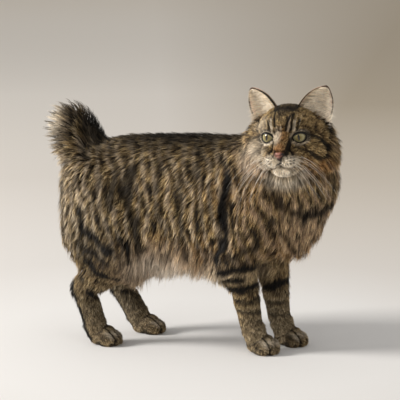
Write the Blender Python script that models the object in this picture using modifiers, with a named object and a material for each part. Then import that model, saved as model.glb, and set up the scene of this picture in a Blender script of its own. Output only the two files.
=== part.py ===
"""An American bobtail cat, life size, standing with its head turned to its right.

The flesh is fused from balls and from rows of balls along the limbs. Each node is a piece of that
flesh, parted from its neighbours by thin round cuts, and the long coat is laid over it as flat
tapered locks. Metres throughout: +X forward along the back, +Y the cat's left, +Z up, floor at z = 0.
"""
import math
import random

import bmesh
import bpy
from mathutils import Matrix, Vector
from mathutils.bvhtree import BVHTree

for thing in list(bpy.data.objects):
    bpy.data.objects.remove(thing)

GAP = 0.0003
RIGHT, LEFT = -1, 1
SIDE_NAME = {RIGHT: "right", LEFT: "left"}

# Driving places of the body.
HEAD_AT = Vector((0.132, -0.048, 0.2785))
HEAD_YAW = math.radians(-87)
HEAD_ROLL = math.radians(2.5)
FORE_FEET = {RIGHT: Vector((0.094, -0.028, 0)), LEFT: Vector((0.117, 0.028, 0))}
HIND_FEET = {RIGHT: Vector((-0.121, -0.044, 0)), LEFT: Vector((-0.090, 0.041, 0))}
HOCKS = {RIGHT: Vector((-0.149, -0.044, 0.075)), LEFT: Vector((-0.128, 0.042, 0.066))}
KNEES = {RIGHT: Vector((-0.094, -0.048, 0.124)), LEFT: Vector((-0.078, 0.047, 0.124))}
FORE_TURN = {RIGHT: math.radians(-24), LEFT: math.radians(-14)}
HIND_TURN = {RIGHT: math.radians(-8), LEFT: math.radians(4)}
ELBOW_Z, SHOULDER_Z, HIP_Z = 0.130, 0.198, 0.200
TAIL_ROOT = Vector((-0.160, 0.0, 0.246))

# The trunk at the skin, from rump to breast: place along the back, middle height, half width and
# half height.
TRUNK = (
    (-0.150, 0.214, 0.030, 0.036), (-0.125, 0.212, 0.041, 0.050), (-0.095, 0.211, 0.046, 0.058),
    (-0.050, 0.210, 0.046, 0.062), (0.000, 0.208, 0.048, 0.065), (0.045, 0.206, 0.050, 0.067),
    (0.080, 0.208, 0.046, 0.066), (0.110, 0.207, 0.042, 0.060), (0.128, 0.205, 0.036, 0.050),
)

# Sizes of the head's features.
EYE_RADIUS = 0.0103
EYE_AT = (0.0130, 0.0182, 0.0105)
EYE_TURN = math.radians(19)
EYE_OPENING = (0.0089, 0.0064)
EYE_SLANT = math.radians(9)
LID_THICKNESS = 0.0017
EAR_ROOT = (-0.019, 0.028, 0.030)
EAR_TIP = (-0.018, 0.050, 0.0685)
EAR_TURN = math.radians(22)
EAR_HALF_WIDTH = 0.0205
EAR_DEPTH = 0.013
EAR_WALL = 0.0024
EAR_SEAM = 0.0115
MOUTH_GROOVE = 0.0010

# Depth of coat that the core adds to the skin: all of it where the fur is short, and half of it
# where locks stand on the core.
FOOT_COAT, LEG_COAT, FACE_COAT, CHEEK_COAT = 0.0010, 0.0035, 0.0022, 0.0060
BODY_COAT, RUFF_COAT, TAIL_COAT, UNDERCOAT = 0.0060, 0.0120, 0.0050, 0.0120

WORLD = Matrix.Identity(4)
HEAD = (
    Matrix.Translation(HEAD_AT)
    @ Matrix.Rotation(HEAD_YAW, 4, "Z")
    @ Matrix.Rotation(HEAD_ROLL, 4, "X")
)
draw = random.Random()
part = bpy.data.collections.new("american_bobtail_cat")
bpy.context.scene.collection.children.link(part)
FUR_COLOUR = (0.16, 0.11, 0.065)
PALE_COLOUR = (0.42, 0.33, 0.23)


def material(name, colour, roughness=0.9):
    made = bpy.data.materials.new(name)
    made.use_nodes = True
    shader = made.node_tree.nodes["Principled BSDF"]
    shader.inputs["Base Color"].default_value = (*colour, 1)
    shader.inputs["Roughness"].default_value = roughness
    return made


FUR = material("brown_tabby_fur", FUR_COLOUR)
PALE_FUR = material("pale_ear_fur", PALE_COLOUR)
EYE = material("green_gold_eye", (0.30, 0.30, 0.12), 0.1)
NOSE = material("brick_red_nose_leather", (0.35, 0.12, 0.10), 0.5)


# Flesh: balls, and rows of balls along a limb.
def ball(at, half, coat=0.0, pitch=0.0, frame=WORLD):
    """A ball by its centre, its half sizes at the skin, the coat it adds, and its pitch nose down."""
    place = frame @ Matrix.Translation(Vector(at)) @ Matrix.Rotation(pitch, 4, "Y")
    return [(place, Vector(half), coat)]


def limb(points, radii, coat=0.0, frame=WORLD):
    """Balls close together along the straight runs between points, with the radius changing evenly."""
    row = []
    for start, end, thick, thin in zip(points, points[1:], radii, radii[1:]):
        start, end = Vector(start), Vector(end)
        steps = max(2, math.ceil((end - start).length / (0.40 * min(thick, thin))))
        for i in range(steps + 1):
            share = i / steps
            radius = thick + (thin - thick) * share
            row += ball(start.lerp(end, share), (radius,) * 3, coat, 0.0, frame)
    return row


def trunk():
    row = []
    for rear, front in zip(TRUNK, TRUNK[1:]):
        for i in range(4):
            x, z, width, height = (Vector(rear).lerp(Vector(front), i / 4))
            row += ball((x, 0, z), (0.030, width, height), BODY_COAT)
    return row


def haunch_coat(side):
    """Dense coat of one haunch: down the back of the thigh, and in the fold of the flank."""
    coat = limb([(-0.142, side * 0.038, 0.150), (-0.133, side * 0.042, 0.122)], (0.015, 0.008), UNDERCOAT)
    return coat + limb(
        [(-0.098, side * 0.044, 0.160), (-0.050, side * 0.030, 0.168)], (0.018, 0.022), UNDERCOAT
    )


def undercoat():
    """Dense coat that has no flesh in it, under the long hair of belly, chest, rump and flanks."""
    coat = limb([(-0.070, 0, 0.160), (0.060, 0, 0.155)], (0.022, 0.024), UNDERCOAT)
    coat += limb(
        [(0.118, 0, 0.185), (0.140, -0.006, 0.222), (0.142, -0.018, 0.250)],
        (0.032, 0.030, 0.024), UNDERCOAT,
    )
    coat += limb([(-0.140, -0.020, 0.226), (-0.140, 0.020, 0.226)], (0.020, 0.020), UNDERCOAT)
    for side in (RIGHT, LEFT):
        rump = [(-0.143, side * 0.030, 0.215), (-0.142, side * 0.038, 0.150)]
        flank = [(-0.050, side * 0.030, 0.168), (0.050, side * 0.030, 0.170)]
        coat += limb(rump, (0.021, 0.015), UNDERCOAT) + limb(flank, (0.022, 0.024), UNDERCOAT)
        coat += haunch_coat(side)
    return coat


def neck():
    points = [(0.104, 0, 0.226), (0.126, -0.010, 0.252), (0.138, -0.024, 0.268)]
    return limb(points, (0.046, 0.042, 0.036), RUFF_COAT)


def tail():
    points = [TAIL_ROOT, (-0.166, 0, 0.264), (-0.171, 0, 0.280), (-0.179, 0, 0.292)]
    return limb(points, (0.018, 0.015, 0.0145, 0.011), TAIL_COAT)


def paw(foot, turn):
    """A foot: the pad behind, and four toes in a row, the two in the middle further forward."""
    frame = Matrix.Translation(foot) @ Matrix.Rotation(turn, 4, "Z")
    shapes = ball((-0.002, 0, 0.0125), (0.0180, 0.0145, 0.0130), FOOT_COAT, 0, frame)
    for across, forward in ((-0.0122, 0), (-0.0043, 0.005), (0.0043, 0.005), (0.0122, 0)):
        toe = (0.0085 + forward, across, 0.0085)
        shapes += ball(toe, (0.0105, 0.0053, 0.0085), FOOT_COAT, math.radians(12), frame)
    return shapes


def foreleg(side):
    foot = FORE_FEET[side]
    shoulder = Vector((0.094, side * 0.036, SHOULDER_Z))
    elbow = Vector((foot.x - 0.032, side * 0.042, ELBOW_Z))
    forearm = foot + Vector((-0.022, side * 0.004, 0.085))
    wrist = foot + Vector((-0.015, 0, 0.042))
    pastern = foot + Vector((-0.008, 0, 0.022))
    blade = ball((0.076, side * 0.032, 0.232), (0.036, 0.016, 0.038), BODY_COAT, math.radians(-20))
    upper = limb((shoulder, elbow), (0.028, 0.0215), BODY_COAT)
    lower = limb((elbow, forearm), (0.0205, 0.0152), 0.0048)
    shin = limb((forearm, wrist, pastern), (0.0152, 0.0130, 0.0130), LEG_COAT)
    return blade + upper + lower + shin + paw(foot, FORE_TURN[side])


def hindleg(side):
    foot, hock, knee = HIND_FEET[side], HOCKS[side], KNEES[side]
    hip = Vector((-0.130, side * 0.030, HIP_Z))
    pastern = foot + Vector((-0.010, 0, 0.019))
    haunch = ball((-0.124, side * 0.034, 0.172), (0.046, 0.025, 0.054), BODY_COAT, math.radians(30))
    thigh = limb((hip, knee), (0.036, 0.026), BODY_COAT)
    shank = limb((knee, hock), (0.0255, 0.0130), 0.0055)
    metatarsus = limb((hock, pastern), (0.0128, 0.0128), LEG_COAT)
    return haunch + thigh + shank + metatarsus + paw(foot, HIND_TURN[side])


def skull():
    """The head's own shapes, in its frame: x to the nose, y to its left, z up."""
    shapes = ball((-0.014, 0, 0.014), (0.037, 0.036, 0.032), FACE_COAT, 0, HEAD)
    shapes += ball((-0.028, 0, 0.000), (0.024, 0.031, 0.030), CHEEK_COAT, 0, HEAD)
    shapes += ball((0.004, 0, 0.020), (0.021, 0.026, 0.021), FACE_COAT, math.radians(20), HEAD)
    shapes += limb([(0.020, 0, 0.009), (0.043, 0, -0.006)], (0.0110, 0.0076), 0.0010, HEAD)
    shapes += ball((0.012, 0, -0.024), (0.028, 0.018, 0.012), FACE_COAT, 0, HEAD)
    shapes += ball((0.0335, 0, -0.0285), (0.0105, 0.0092, 0.0068), 0.0010, 0, HEAD)
    shapes += ball((-0.012, 0, -0.022), (0.028, 0.026, 0.020), CHEEK_COAT, 0, HEAD)
    for side in (RIGHT, LEFT):
        shapes += ball((-0.006, side * 0.024, -0.010), (0.025, 0.018, 0.021), CHEEK_COAT, 0, HEAD)
        shapes += ball((0.017, side * 0.013, -0.009), (0.019, 0.013, 0.014), FACE_COAT, 0, HEAD)
        shapes += ball((0.026, side * 0.0125, -0.0160), (0.0150, 0.0115, 0.0105), 0.0016, 0, HEAD)
        shapes += ball((0.0365, side * 0.0078, -0.0165), (0.0115, 0.0098, 0.0085), 0.0012, 0, HEAD)
        shapes += ball((0.000, side * 0.018, 0.020), (0.0165, 0.014, 0.0105), FACE_COAT, 0, HEAD)
    return shapes


def cheek_undercoat():
    coat = []
    for side in (RIGHT, LEFT):
        line = [(-0.016, side * 0.028, 0.006), (-0.014, side * 0.030, -0.018)]
        coat += limb(line, (0.011, 0.0115), UNDERCOAT, HEAD)
    return coat


def nose(extra):
    """Nose leather, wide above and narrow below, larger all round by extra."""
    shapes = ball((0.0475, 0, -0.0085), (0.0048, 0.0064, 0.0040), extra, math.radians(-20), HEAD)
    return shapes + ball((0.0480, 0, -0.0125), (0.0040, 0.0034, 0.0038), extra, 0, HEAD)


# Solids.
def mesh_object(name, form):
    mesh = bpy.data.meshes.new(name)
    form.to_mesh(mesh)
    form.free()
    made = bpy.data.objects.new(name, mesh)
    part.objects.link(made)
    return made


def apply_modifier(made, kind, **settings):
    modifier = made.modifiers.new(kind.lower(), kind)
    for key, value in settings.items():
        setattr(modifier, key, value)
    bpy.context.view_layer.objects.active = made
    with bpy.context.temp_override(object=made, active_object=made):
        bpy.ops.object.modifier_apply(modifier=modifier.name)


def unit_ball():
    form = bmesh.new()
    bmesh.ops.create_uvsphere(form, u_segments=20, v_segments=12, radius=1)
    verts = [vert.co.copy() for vert in form.verts]
    faces = [[vert.index for vert in face.verts] for face in form.faces]
    form.free()
    return verts, faces


BALL_VERTS, BALL_FACES = unit_ball()


def flesh(name, shapes, voxel, smoothing, faces):
    """One closed skin round all the shapes, smoothed over that length, with about that many faces."""
    verts, rings = [], []
    for place, half, coat in shapes:
        whole = place @ Matrix.Diagonal((*(half + Vector((coat,) * 3)), 1))
        rings += [[i + len(verts) for i in ring] for ring in BALL_FACES]
        verts += [whole @ vert for vert in BALL_VERTS]
    mesh = bpy.data.meshes.new(name)
    mesh.from_pydata(verts, [], rings)
    made = bpy.data.objects.new(name, mesh)
    part.objects.link(made)
    apply_modifier(made, "REMESH", mode="VOXEL", voxel_size=voxel)
    rounds = max(1, round((smoothing / voxel) ** 2))
    apply_modifier(made, "SMOOTH", factor=0.5, iterations=rounds)
    ratio = min(1.0, faces / (2 * len(made.data.polygons)))
    apply_modifier(made, "DECIMATE", ratio=ratio, use_collapse_triangulate=True)
    return made


def boolean(made, cutter, operation):
    apply_modifier(made, "BOOLEAN", object=cutter, operation=operation, solver="EXACT")


def along(point, axis):
    """A frame at point whose Z runs along axis."""
    return Matrix.Translation(Vector(point)) @ Vector(axis).to_track_quat("Z", "Y").to_matrix().to_4x4()


def sleeve(region, extra):
    """A round cutter from a region's cap along its axis, with its walls moved out by extra."""
    point, axis, radius, length = region
    form = bmesh.new()
    middle = along(point, axis) @ Matrix.Translation((0, 0, length / 2))
    bmesh.ops.create_cone(
        form, cap_ends=True, segments=20, radius1=radius + extra, radius2=radius + extra,
        depth=length + 2 * extra, matrix=middle,
    )
    return mesh_object("cutter", form)


def cut_to(made, inside, outside):
    """Keeps what lies inside one region and outside the others, half a gap from each wall."""
    for region, extra, operation in [(inside, -GAP / 2, "INTERSECT")] * bool(inside) + [
        (region, GAP / 2, "DIFFERENCE") for region in outside
    ]:
        cutter = sleeve(region, extra)
        boolean(made, cutter, operation)
        bpy.data.objects.remove(cutter)
    keep_largest(made)


def islands(form):
    """The separate closed surfaces of a mesh, each a list of faces. Two that only touch stay separate."""
    left, found = set(form.faces), []
    while left:
        edge_of_island = [left.pop()]
        island = []
        while edge_of_island:
            face = edge_of_island.pop()
            island.append(face)
            for edge in [edge for edge in face.edges if len(edge.link_faces) == 2]:
                for other in edge.link_faces:
                    if other in left:
                        left.remove(other)
                        edge_of_island.append(other)
        found.append(island)
    return found


def keep_largest(made):
    form = bmesh.new()
    form.from_mesh(made.data)
    found = sorted(islands(form), key=lambda island: -sum(face.calc_area() for face in island))
    scraps = [face for island in found[1:] for face in island]
    bmesh.ops.delete(form, geom=scraps, context="FACES")
    form.to_mesh(made.data)
    form.free()


# Where each node is parted from the one that it grows from: the cap's middle, the axis into the
# node, and the radius and length of the region that belongs to it.
def regions_of_side(side):
    fore, hind, hock, knee = FORE_FEET[side], HIND_FEET[side], HOCKS[side], KNEES[side]
    return {
        "upper_arm": ((fore.x - 0.024, side * 0.030, 0.150), (-0.05, side * 0.75, -0.65), 0.041, 0.080),
        "forearm": ((fore.x - 0.030, side * 0.045, 0.116), (0.08, 0, -1), 0.034, 0.20),
        "forepaw": (fore + Vector((-0.014, 0, 0.036)), (0.25, 0, -1), 0.040, 0.20),
        "thigh": ((-0.117, side * 0.018, 0.168), (0, side, -0.30), 0.078, 0.090),
        "shank": (knee + Vector((-0.018, 0, -0.018)), (-0.75, 0, -0.66), 0.045, 0.20),
        "hindfoot": (hock + Vector((0.002, 0, -0.017)), hind - hock, 0.040, 0.20),
    }


REGIONS = {side: regions_of_side(side) for side in (RIGHT, LEFT)}
NECK_REGION = ((0.110, -0.004, 0.222), (0.62, -0.22, 0.75), 0.110, 0.25)
HEAD_PLANE = HEAD @ Vector((-0.026, 0, -0.012))
HEAD_AXIS = HEAD.to_3x3() @ Vector((0.78, 0, 0.62))
HEAD_REGION = (HEAD_PLANE, HEAD_AXIS, 0.083, 0.20)
TAIL_REGION = ((-0.158, 0, 0.243), (-0.45, 0, 0.89), 0.034, 0.20)
FLOOR_UP = ((0, 0, -GAP / 2), (0, 0, 1), 0.60, 0.60)


def ear_frame(side):
    """The ear's frame: z from root to tip, x the way its cup faces."""
    root = Vector((EAR_ROOT[0], side * EAR_ROOT[1], EAR_ROOT[2]))
    tip = Vector((EAR_TIP[0], side * EAR_TIP[1], EAR_TIP[2]))
    up = (tip - root).normalized()
    facing = Vector((math.cos(EAR_TURN), side * math.sin(EAR_TURN), 0))
    facing = (facing - up * facing.dot(up)).normalized()
    turn = Matrix((facing, up.cross(facing), up)).transposed().to_4x4()
    return HEAD @ Matrix.Translation(root) @ turn, (tip - root).length


def ear(side):
    """A cupped, pointed shell on a grid: across from edge to edge, and up from below the root."""
    frame, height = ear_frame(side)
    form = bmesh.new()
    bmesh.ops.create_grid(form, x_segments=8, y_segments=9, size=1)
    for vert in form.verts:
        across, up = vert.co.x, -0.22 + 1.22 * (vert.co.y + 1) / 2
        narrow = max(0.0, 1 - max(up, 0.0) ** 1.9)
        half_width = 0.0018 + EAR_HALF_WIDTH * narrow * (1 - 0.25 * max(-up, 0.0))
        depth = EAR_DEPTH * (0.12 + 0.88 * narrow)
        lean = -0.004 * up * up
        vert.co = frame @ Vector((lean - depth * (1 - across * across), half_width * across, height * up))
    made = mesh_object("ear_" + SIDE_NAME[side], form)
    apply_modifier(made, "SOLIDIFY", thickness=EAR_WALL, offset=0)
    return made


def ear_region(side):
    frame, height = ear_frame(side)
    axis = frame.to_3x3() @ Vector((0, 0, 1))
    return (frame @ Vector((-0.006, 0, EAR_SEAM)), axis, 0.030, height * 1.3)


def eye_frame(side):
    """The eye's frame: x is the way its opening faces, y to the cat's left, z up."""
    at = Matrix.Translation((EYE_AT[0], side * EYE_AT[1], EYE_AT[2]))
    turn = Matrix.Rotation(side * EYE_TURN, 4, "Z") @ Matrix.Rotation(side * EYE_SLANT, 4, "X")
    return HEAD @ at @ turn


def sphere(name, frame, radius, segments=20, rings=12):
    form = bmesh.new()
    bmesh.ops.create_uvsphere(
        form, u_segments=segments, v_segments=rings, radius=radius,
        matrix=frame @ Matrix.Rotation(math.pi / 2, 4, "Y"),
    )
    return mesh_object(name, form)


def eye_opening(side):
    """The almond between the lids, as a cutter that runs out of the eye."""
    form = bmesh.new()
    bmesh.ops.create_cone(form, cap_ends=True, segments=20, radius1=1, radius2=1, depth=1)
    half_width, half_height = EYE_OPENING
    for vert in form.verts:
        turn = math.atan2(vert.co.y, vert.co.x)
        across = half_width * math.cos(turn)
        up = half_height * math.copysign(abs(math.sin(turn)) ** 1.25, math.sin(turn))
        out = 0.004 + 0.016 * (vert.co.z + 0.5)
        vert.co = eye_frame(side) @ Vector((out, across, up))
    made = mesh_object("cutter", form)
    bpy.context.view_layer.update()
    form = bmesh.new()
    form.from_mesh(made.data)
    bmesh.ops.recalc_face_normals(form, faces=form.faces)
    form.to_mesh(made.data)
    form.free()
    return made


def tree_of(made):
    form = bmesh.new()
    form.from_mesh(made.data)
    form.transform(made.matrix_world)
    bmesh.ops.triangulate(form, faces=form.faces)
    found = BVHTree.FromBMesh(form)
    form.free()
    return found


def mouth(tree, side):
    """The line between the lips, as a thin tube on the surface: down from the nose, then back."""
    line = [
        (0.0500, 0, -0.0150), (0.0490, 0, -0.0200), (0.0470, 0.0035, -0.0235), (0.0430, 0.0085, -0.0250),
        (0.0370, 0.0130, -0.0245), (0.0300, 0.0165, -0.0225), (0.0220, 0.0190, -0.0200),
    ]
    curve = bpy.data.curves.new("mouth", "CURVE")
    curve.dimensions = "3D"
    curve.bevel_depth = MOUTH_GROOVE
    curve.bevel_resolution = 1
    curve.use_fill_caps = True
    spline = curve.splines.new("POLY")
    spline.points.add(len(line) - 1)
    for point, (forward, across, up) in zip(spline.points, line):
        near = tree.find_nearest(HEAD @ Vector((forward, side * across, up)))[0]
        point.co = (*near, 1)
    tube = bpy.data.objects.new("mouth", curve)
    part.objects.link(tube)
    graph = bpy.context.evaluated_depsgraph_get()
    mesh = bpy.data.meshes.new_from_object(tube.evaluated_get(graph))
    form = bmesh.new()
    form.from_mesh(mesh)
    bmesh.ops.remove_doubles(form, verts=form.verts, dist=0.00001)
    bpy.data.objects.remove(tube)
    return mesh_object("cutter", form)


def minus(made, cutter):
    boolean(made, cutter, "DIFFERENCE")
    bpy.data.objects.remove(cutter)


def plus(made, other):
    boolean(made, other, "UNION")
    bpy.data.objects.remove(other)


# The long coat. At each of these places it is known which way the hair lies, how long it is, how far
# its tip stands off, and how freely it hangs; between them the values blend. All are for both sides.
COAT_LIE = (
    ((0.080, 0.015, 0.280), (-1.0, 0.1, -0.10), 0.050, 0.003, 0.1),
    ((0.000, 0.015, 0.277), (-1.0, 0.1, -0.10), 0.050, 0.003, 0.1),
    ((-0.100, 0.015, 0.272), (-1.0, 0.1, -0.10), 0.050, 0.004, 0.1),
    ((-0.175, 0.020, 0.235), (-0.55, 0.2, -0.80), 0.050, 0.007, 0.3),
    ((-0.178, 0.030, 0.180), (-0.40, 0.1, -0.90), 0.052, 0.008, 0.4),
    ((-0.160, 0.040, 0.130), (-0.25, 0.1, -0.95), 0.048, 0.008, 0.6),
    ((0.060, 0.050, 0.240), (-0.80, 0.1, -0.60), 0.062, 0.002, 0.1),
    ((-0.010, 0.052, 0.235), (-0.85, 0.1, -0.50), 0.064, 0.002, 0.1),
    ((-0.090, 0.055, 0.235), (-0.80, 0.1, -0.60), 0.060, 0.003, 0.2),
    ((0.010, 0.066, 0.175), (-0.55, 0.1, -0.83), 0.064, 0.002, 0.2),
    ((-0.060, 0.066, 0.170), (-0.50, 0.1, -0.85), 0.060, 0.003, 0.3),
    ((0.020, 0.045, 0.130), (-0.40, 0.0, -0.92), 0.038, 0.005, 0.9),
    ((-0.045, 0.045, 0.130), (-0.40, 0.0, -0.92), 0.036, 0.005, 0.8),
    ((0.000, 0.000, 0.120), (-0.60, 0.0, -0.75), 0.034, 0.004, 0.8),
    ((0.075, 0.064, 0.200), (-0.35, 0.1, -0.93), 0.054, 0.004, 0.2),
    ((0.055, 0.062, 0.150), (-0.45, 0.0, -0.90), 0.034, 0.004, 0.5),
    ((-0.125, 0.068, 0.190), (-0.55, 0.1, -0.83), 0.056, 0.004, 0.2),
    ((-0.095, 0.072, 0.150), (-0.50, 0.1, -0.85), 0.048, 0.004, 0.3),
    ((-0.135, 0.058, 0.110), (-0.50, 0.0, -0.86), 0.034, 0.004, 0.5),
    ((0.165, 0.000, 0.190), (0.20, 0.0, -0.98), 0.054, 0.012, 0.6),
    ((0.150, 0.030, 0.200), (0.10, 0.2, -0.97), 0.054, 0.012, 0.5),
    ((0.140, 0.010, 0.145), (-0.10, 0.0, -0.99), 0.046, 0.006, 0.8),
    ((0.100, 0.052, 0.245), (-0.35, 0.3, -0.88), 0.050, 0.008, 0.2),
    ((0.100, 0.045, 0.125), (-0.40, 0.0, -0.91), 0.034, 0.003, 0.4),
    ((-0.180, 0.006, 0.255), (-0.90, 0.2, -0.35), 0.040, 0.010, 0.9),
    ((-0.188, 0.008, 0.280), (-0.95, 0.2, 0.05), 0.042, 0.012, 0.9),
    ((-0.148, 0.006, 0.273), (-0.25, 0.2, 0.95), 0.032, 0.003, 0.4),
    ((-0.158, 0.006, 0.296), (-0.55, 0.2, 0.75), 0.030, 0.002, 0.5),
    ((-0.188, 0.000, 0.303), (-0.95, 0.1, 0.20), 0.036, 0.004, 0.8),
)
HEAD_LIE = (
    ((-0.030, 0.045, 0.015), (-0.55, 0.6, -0.55), 0.036, 0.010, 0.6),
    ((-0.015, 0.052, -0.015), (-0.45, 0.5, -0.75), 0.040, 0.010, 0.7),
    ((-0.005, 0.030, -0.044), (-0.30, 0.2, -0.92), 0.040, 0.008, 0.6),
    ((0.020, 0.015, -0.034), (-0.35, 0.1, -0.90), 0.014, 0.003, 0.3),
    ((-0.055, 0.020, 0.000), (-0.60, 0.3, -0.75), 0.034, 0.005, 0.3),
    ((-0.035, 0.032, 0.035), (-0.90, 0.3, -0.30), 0.008, 0.002, 0.1),
    ((-0.010, 0.010, 0.050), (-0.95, 0.0, 0.10), 0.010, 0.002, 0.1),
    ((0.020, 0.030, -0.005), (-0.90, 0.4, -0.20), 0.008, 0.001, 0.1),
    ((0.045, 0.006, -0.015), (-0.90, 0.3, -0.30), 0.004, 0.001, 0.1),
)
LIE_REACH = 0.030
LOCK_SEED = 1
SHORTEST_LOCK = 0.026
LOCK_WIDTH, LOCK_THICKNESS, LOCK_SINK = 0.38, 0.0038, 0.0075
LOCK_RINGS = ((0.0, 0.80, 1.0), (0.30, 1.0, 0.9), (0.65, 0.76, 0.65))


def lie_guides():
    guides = []
    for side in (RIGHT, LEFT):
        for frame, rows in ((WORLD, COAT_LIE), (HEAD, HEAD_LIE)):
            for at, way, length, rise, free in rows:
                at = frame @ Vector((at[0], side * at[1], at[2]))
                way = (frame.to_3x3() @ Vector((way[0], side * way[1], way[2]))).normalized()
                guides.append((at, way, Vector((length, rise, free))))
    return guides


GUIDES = lie_guides()


def lie_at(point):
    """The hair's direction at a point, and its length, rise of the tip and freedom."""
    way, values, total = Vector(), Vector(), 0.0
    for at, guide_way, guide_values in GUIDES:
        weight = math.exp(-(((point - at).length / LIE_REACH) ** 2)) + 1e-12
        way += guide_way * weight
        values += guide_values * weight
        total += weight
    return way.normalized(), values / total


def lock_path(skin, root):
    """The middle line of a lock and the way out at each point: sunk root, along the skin, and the tip."""
    way, (length, rise, free) = lie_at(root)
    at, out = skin.find_nearest(root)[:2]
    length *= draw.uniform(0.85, 1.15)
    way = (way + Vector((draw.gauss(0, 1), draw.gauss(0, 1), draw.gauss(0, 1))) * 0.10).normalized()
    bend = way.cross(out) * draw.uniform(-0.30, 0.30)
    path, outs = [at - out * LOCK_SINK], [out]
    for share, step, height in ((0.30, 0.30, 0.0014), (0.65, 0.35, 0.0034), (1.0, 0.35, 0.0030 + rise)):
        loose = at + (way + bend * share).normalized() * length * step
        near, normal = skin.find_nearest(loose)[:2]
        outside = (loose - near).dot(normal) > 0
        at = near.lerp(loose, free) if outside else near
        outs.append((out * 0.5 + normal).normalized())
        path.append(at + normal * height)
    return path, outs, length


def lock_mesh(path, outs, width, extra):
    """A flat lock, ridged above and tapered, as points and triangles, larger all round by extra."""
    points = []
    for i, (share, wide, thick) in enumerate(LOCK_RINGS):
        ahead = (path[i + 1] - path[max(i - 1, 0)]).normalized()
        across = ahead.cross(outs[i]).normalized()
        up = across.cross(ahead)
        across *= width * wide / 2 + 1.5 * extra
        middle = path[i] - up * extra
        points += [middle + across, middle + up * (LOCK_THICKNESS * thick + 2.5 * extra), middle - across]
    points.append(path[3] + (path[3] - path[2]).normalized() * extra * 3)
    faces = [(0, 1, 2)]
    for ring in (0, 3):
        for k in range(3):
            a, b = ring + k, ring + (k + 1) % 3
            if k == 1:
                faces += [(a, b, b + 3), (a, b + 3, a + 3)]
            else:
                faces += [(a, b, a + 3), (b, b + 3, a + 3)]
    faces += [(6 + k, 6 + (k + 1) % 3, 9) for k in range(3)]
    return points, faces


def lock_object(points, faces):
    form = bmesh.new()
    verts = [form.verts.new(point) for point in points]
    for face in faces:
        form.faces.new([verts[i] for i in face])
    bmesh.ops.recalc_face_normals(form, faces=form.faces)
    return mesh_object("lock", form)


def outer_points(made, skin, count):
    """Points spread at random over the faces of a node that are on the outside."""
    form = bmesh.new()
    form.from_mesh(made.data)
    bmesh.ops.triangulate(form, faces=form.faces)
    corners = [[vert.co.copy() for vert in face.verts] for face in form.faces]
    areas = [face.calc_area() for face in form.faces]
    form.free()
    found = []
    for a, b, c in draw.choices(corners, weights=areas, k=count):
        u, v = draw.random(), draw.random()
        if u + v > 1:
            u, v = 1 - u, 1 - v
        point = a + (b - a) * u + (c - a) * v
        near = skin.find_nearest(point)
        if (point - near[0]).length < 0.0005 and near[1].dot((b - a).cross(c - a).normalized()) > 0.8:
            found.append(point)
    return found


def coat_node(made, skin, plan, trees, placed):
    """Lays locks over a node where there is room, clear of every other node, and fuses them to it.

    The plan is how many roots are tried, the room that a lock takes as shares of its length and width,
    and the Boolean solver. The quick one is cleaner, but it leaves the head as it was.
    """
    count, along_share, across_share, solver = plan
    draw.seed(LOCK_SEED)
    locks, mine = bpy.data.collections.new("locks"), []
    others = [tree for name, tree in trees.items() if name != made.name]
    others += [tree for name, tree in placed if name != made.name]
    for root in outer_points(made, skin, count):
        way, (length, rise, free) = lie_at(root)
        if length < SHORTEST_LOCK or root.z < 0.07:
            continue
        width = length * (LOCK_WIDTH + 0.10 * free) * draw.uniform(0.85, 1.15)
        crowded = False
        for other in mine:
            apart = root - other
            ahead = apart.dot(way)
            beside = (apart - way * ahead).length
            room = 1.25 - 0.5 * free
            if math.hypot(ahead / (along_share * length), beside / (across_share * width)) < room:
                crowded = True
        if crowded:
            continue
        path, outs, length = lock_path(skin, root)
        grown = BVHTree.FromPolygons(*lock_mesh(path, outs, width, 0.00045))
        if any(grown.overlap(tree) for tree in others):
            continue
        mine.append(root)
        points, faces = lock_mesh(path, outs, width, 0.0)
        placed.append((made.name, BVHTree.FromPolygons(points, faces)))
        lock = lock_object(points, faces)
        part.objects.unlink(lock)
        locks.objects.link(lock)
    apply_modifier(
        made, "BOOLEAN", operand_type="COLLECTION", collection=locks, operation="UNION", solver=solver
    )
    for lock in list(locks.objects):
        bpy.data.objects.remove(lock)
    bpy.data.collections.remove(locks)
    keep_largest(made)
    print(made.name, "locks", len(mine), "triangles", len(made.data.polygons))


def head():
    made = flesh("whole_head", skull() + cheek_undercoat() + neck(), 0.0017, 0.0032, 1400)
    for side in (RIGHT, LEFT):
        plus(made, sphere("lid", eye_frame(side), EYE_RADIUS + LID_THICKNESS, 16, 10))
    tree = tree_of(made)
    for side in (RIGHT, LEFT):
        minus(made, mouth(tree, side))
        minus(made, eye_opening(side))
        minus(made, sphere("socket", eye_frame(side), EYE_RADIUS + GAP, 16, 10))
        plus(made, ear(side))
    minus(made, flesh("nose_seat", nose(GAP), 0.0009, 0.0009, 180))
    return made


def copy_of(made, name):
    twin = made.copy()
    twin.data = made.data.copy()
    twin.name = name
    part.objects.link(twin)
    return twin


def node(name, whole, inside, outside, finish=FUR):
    made = copy_of(whole, name)
    made.data.name = name
    cut_to(made, inside, outside)
    made.data.materials.clear()
    made.data.materials.append(finish)
    return made


def plain(name, made, finish):
    made.name = name
    made.data.name = name
    made.data.materials.append(finish)
    return made


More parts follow.
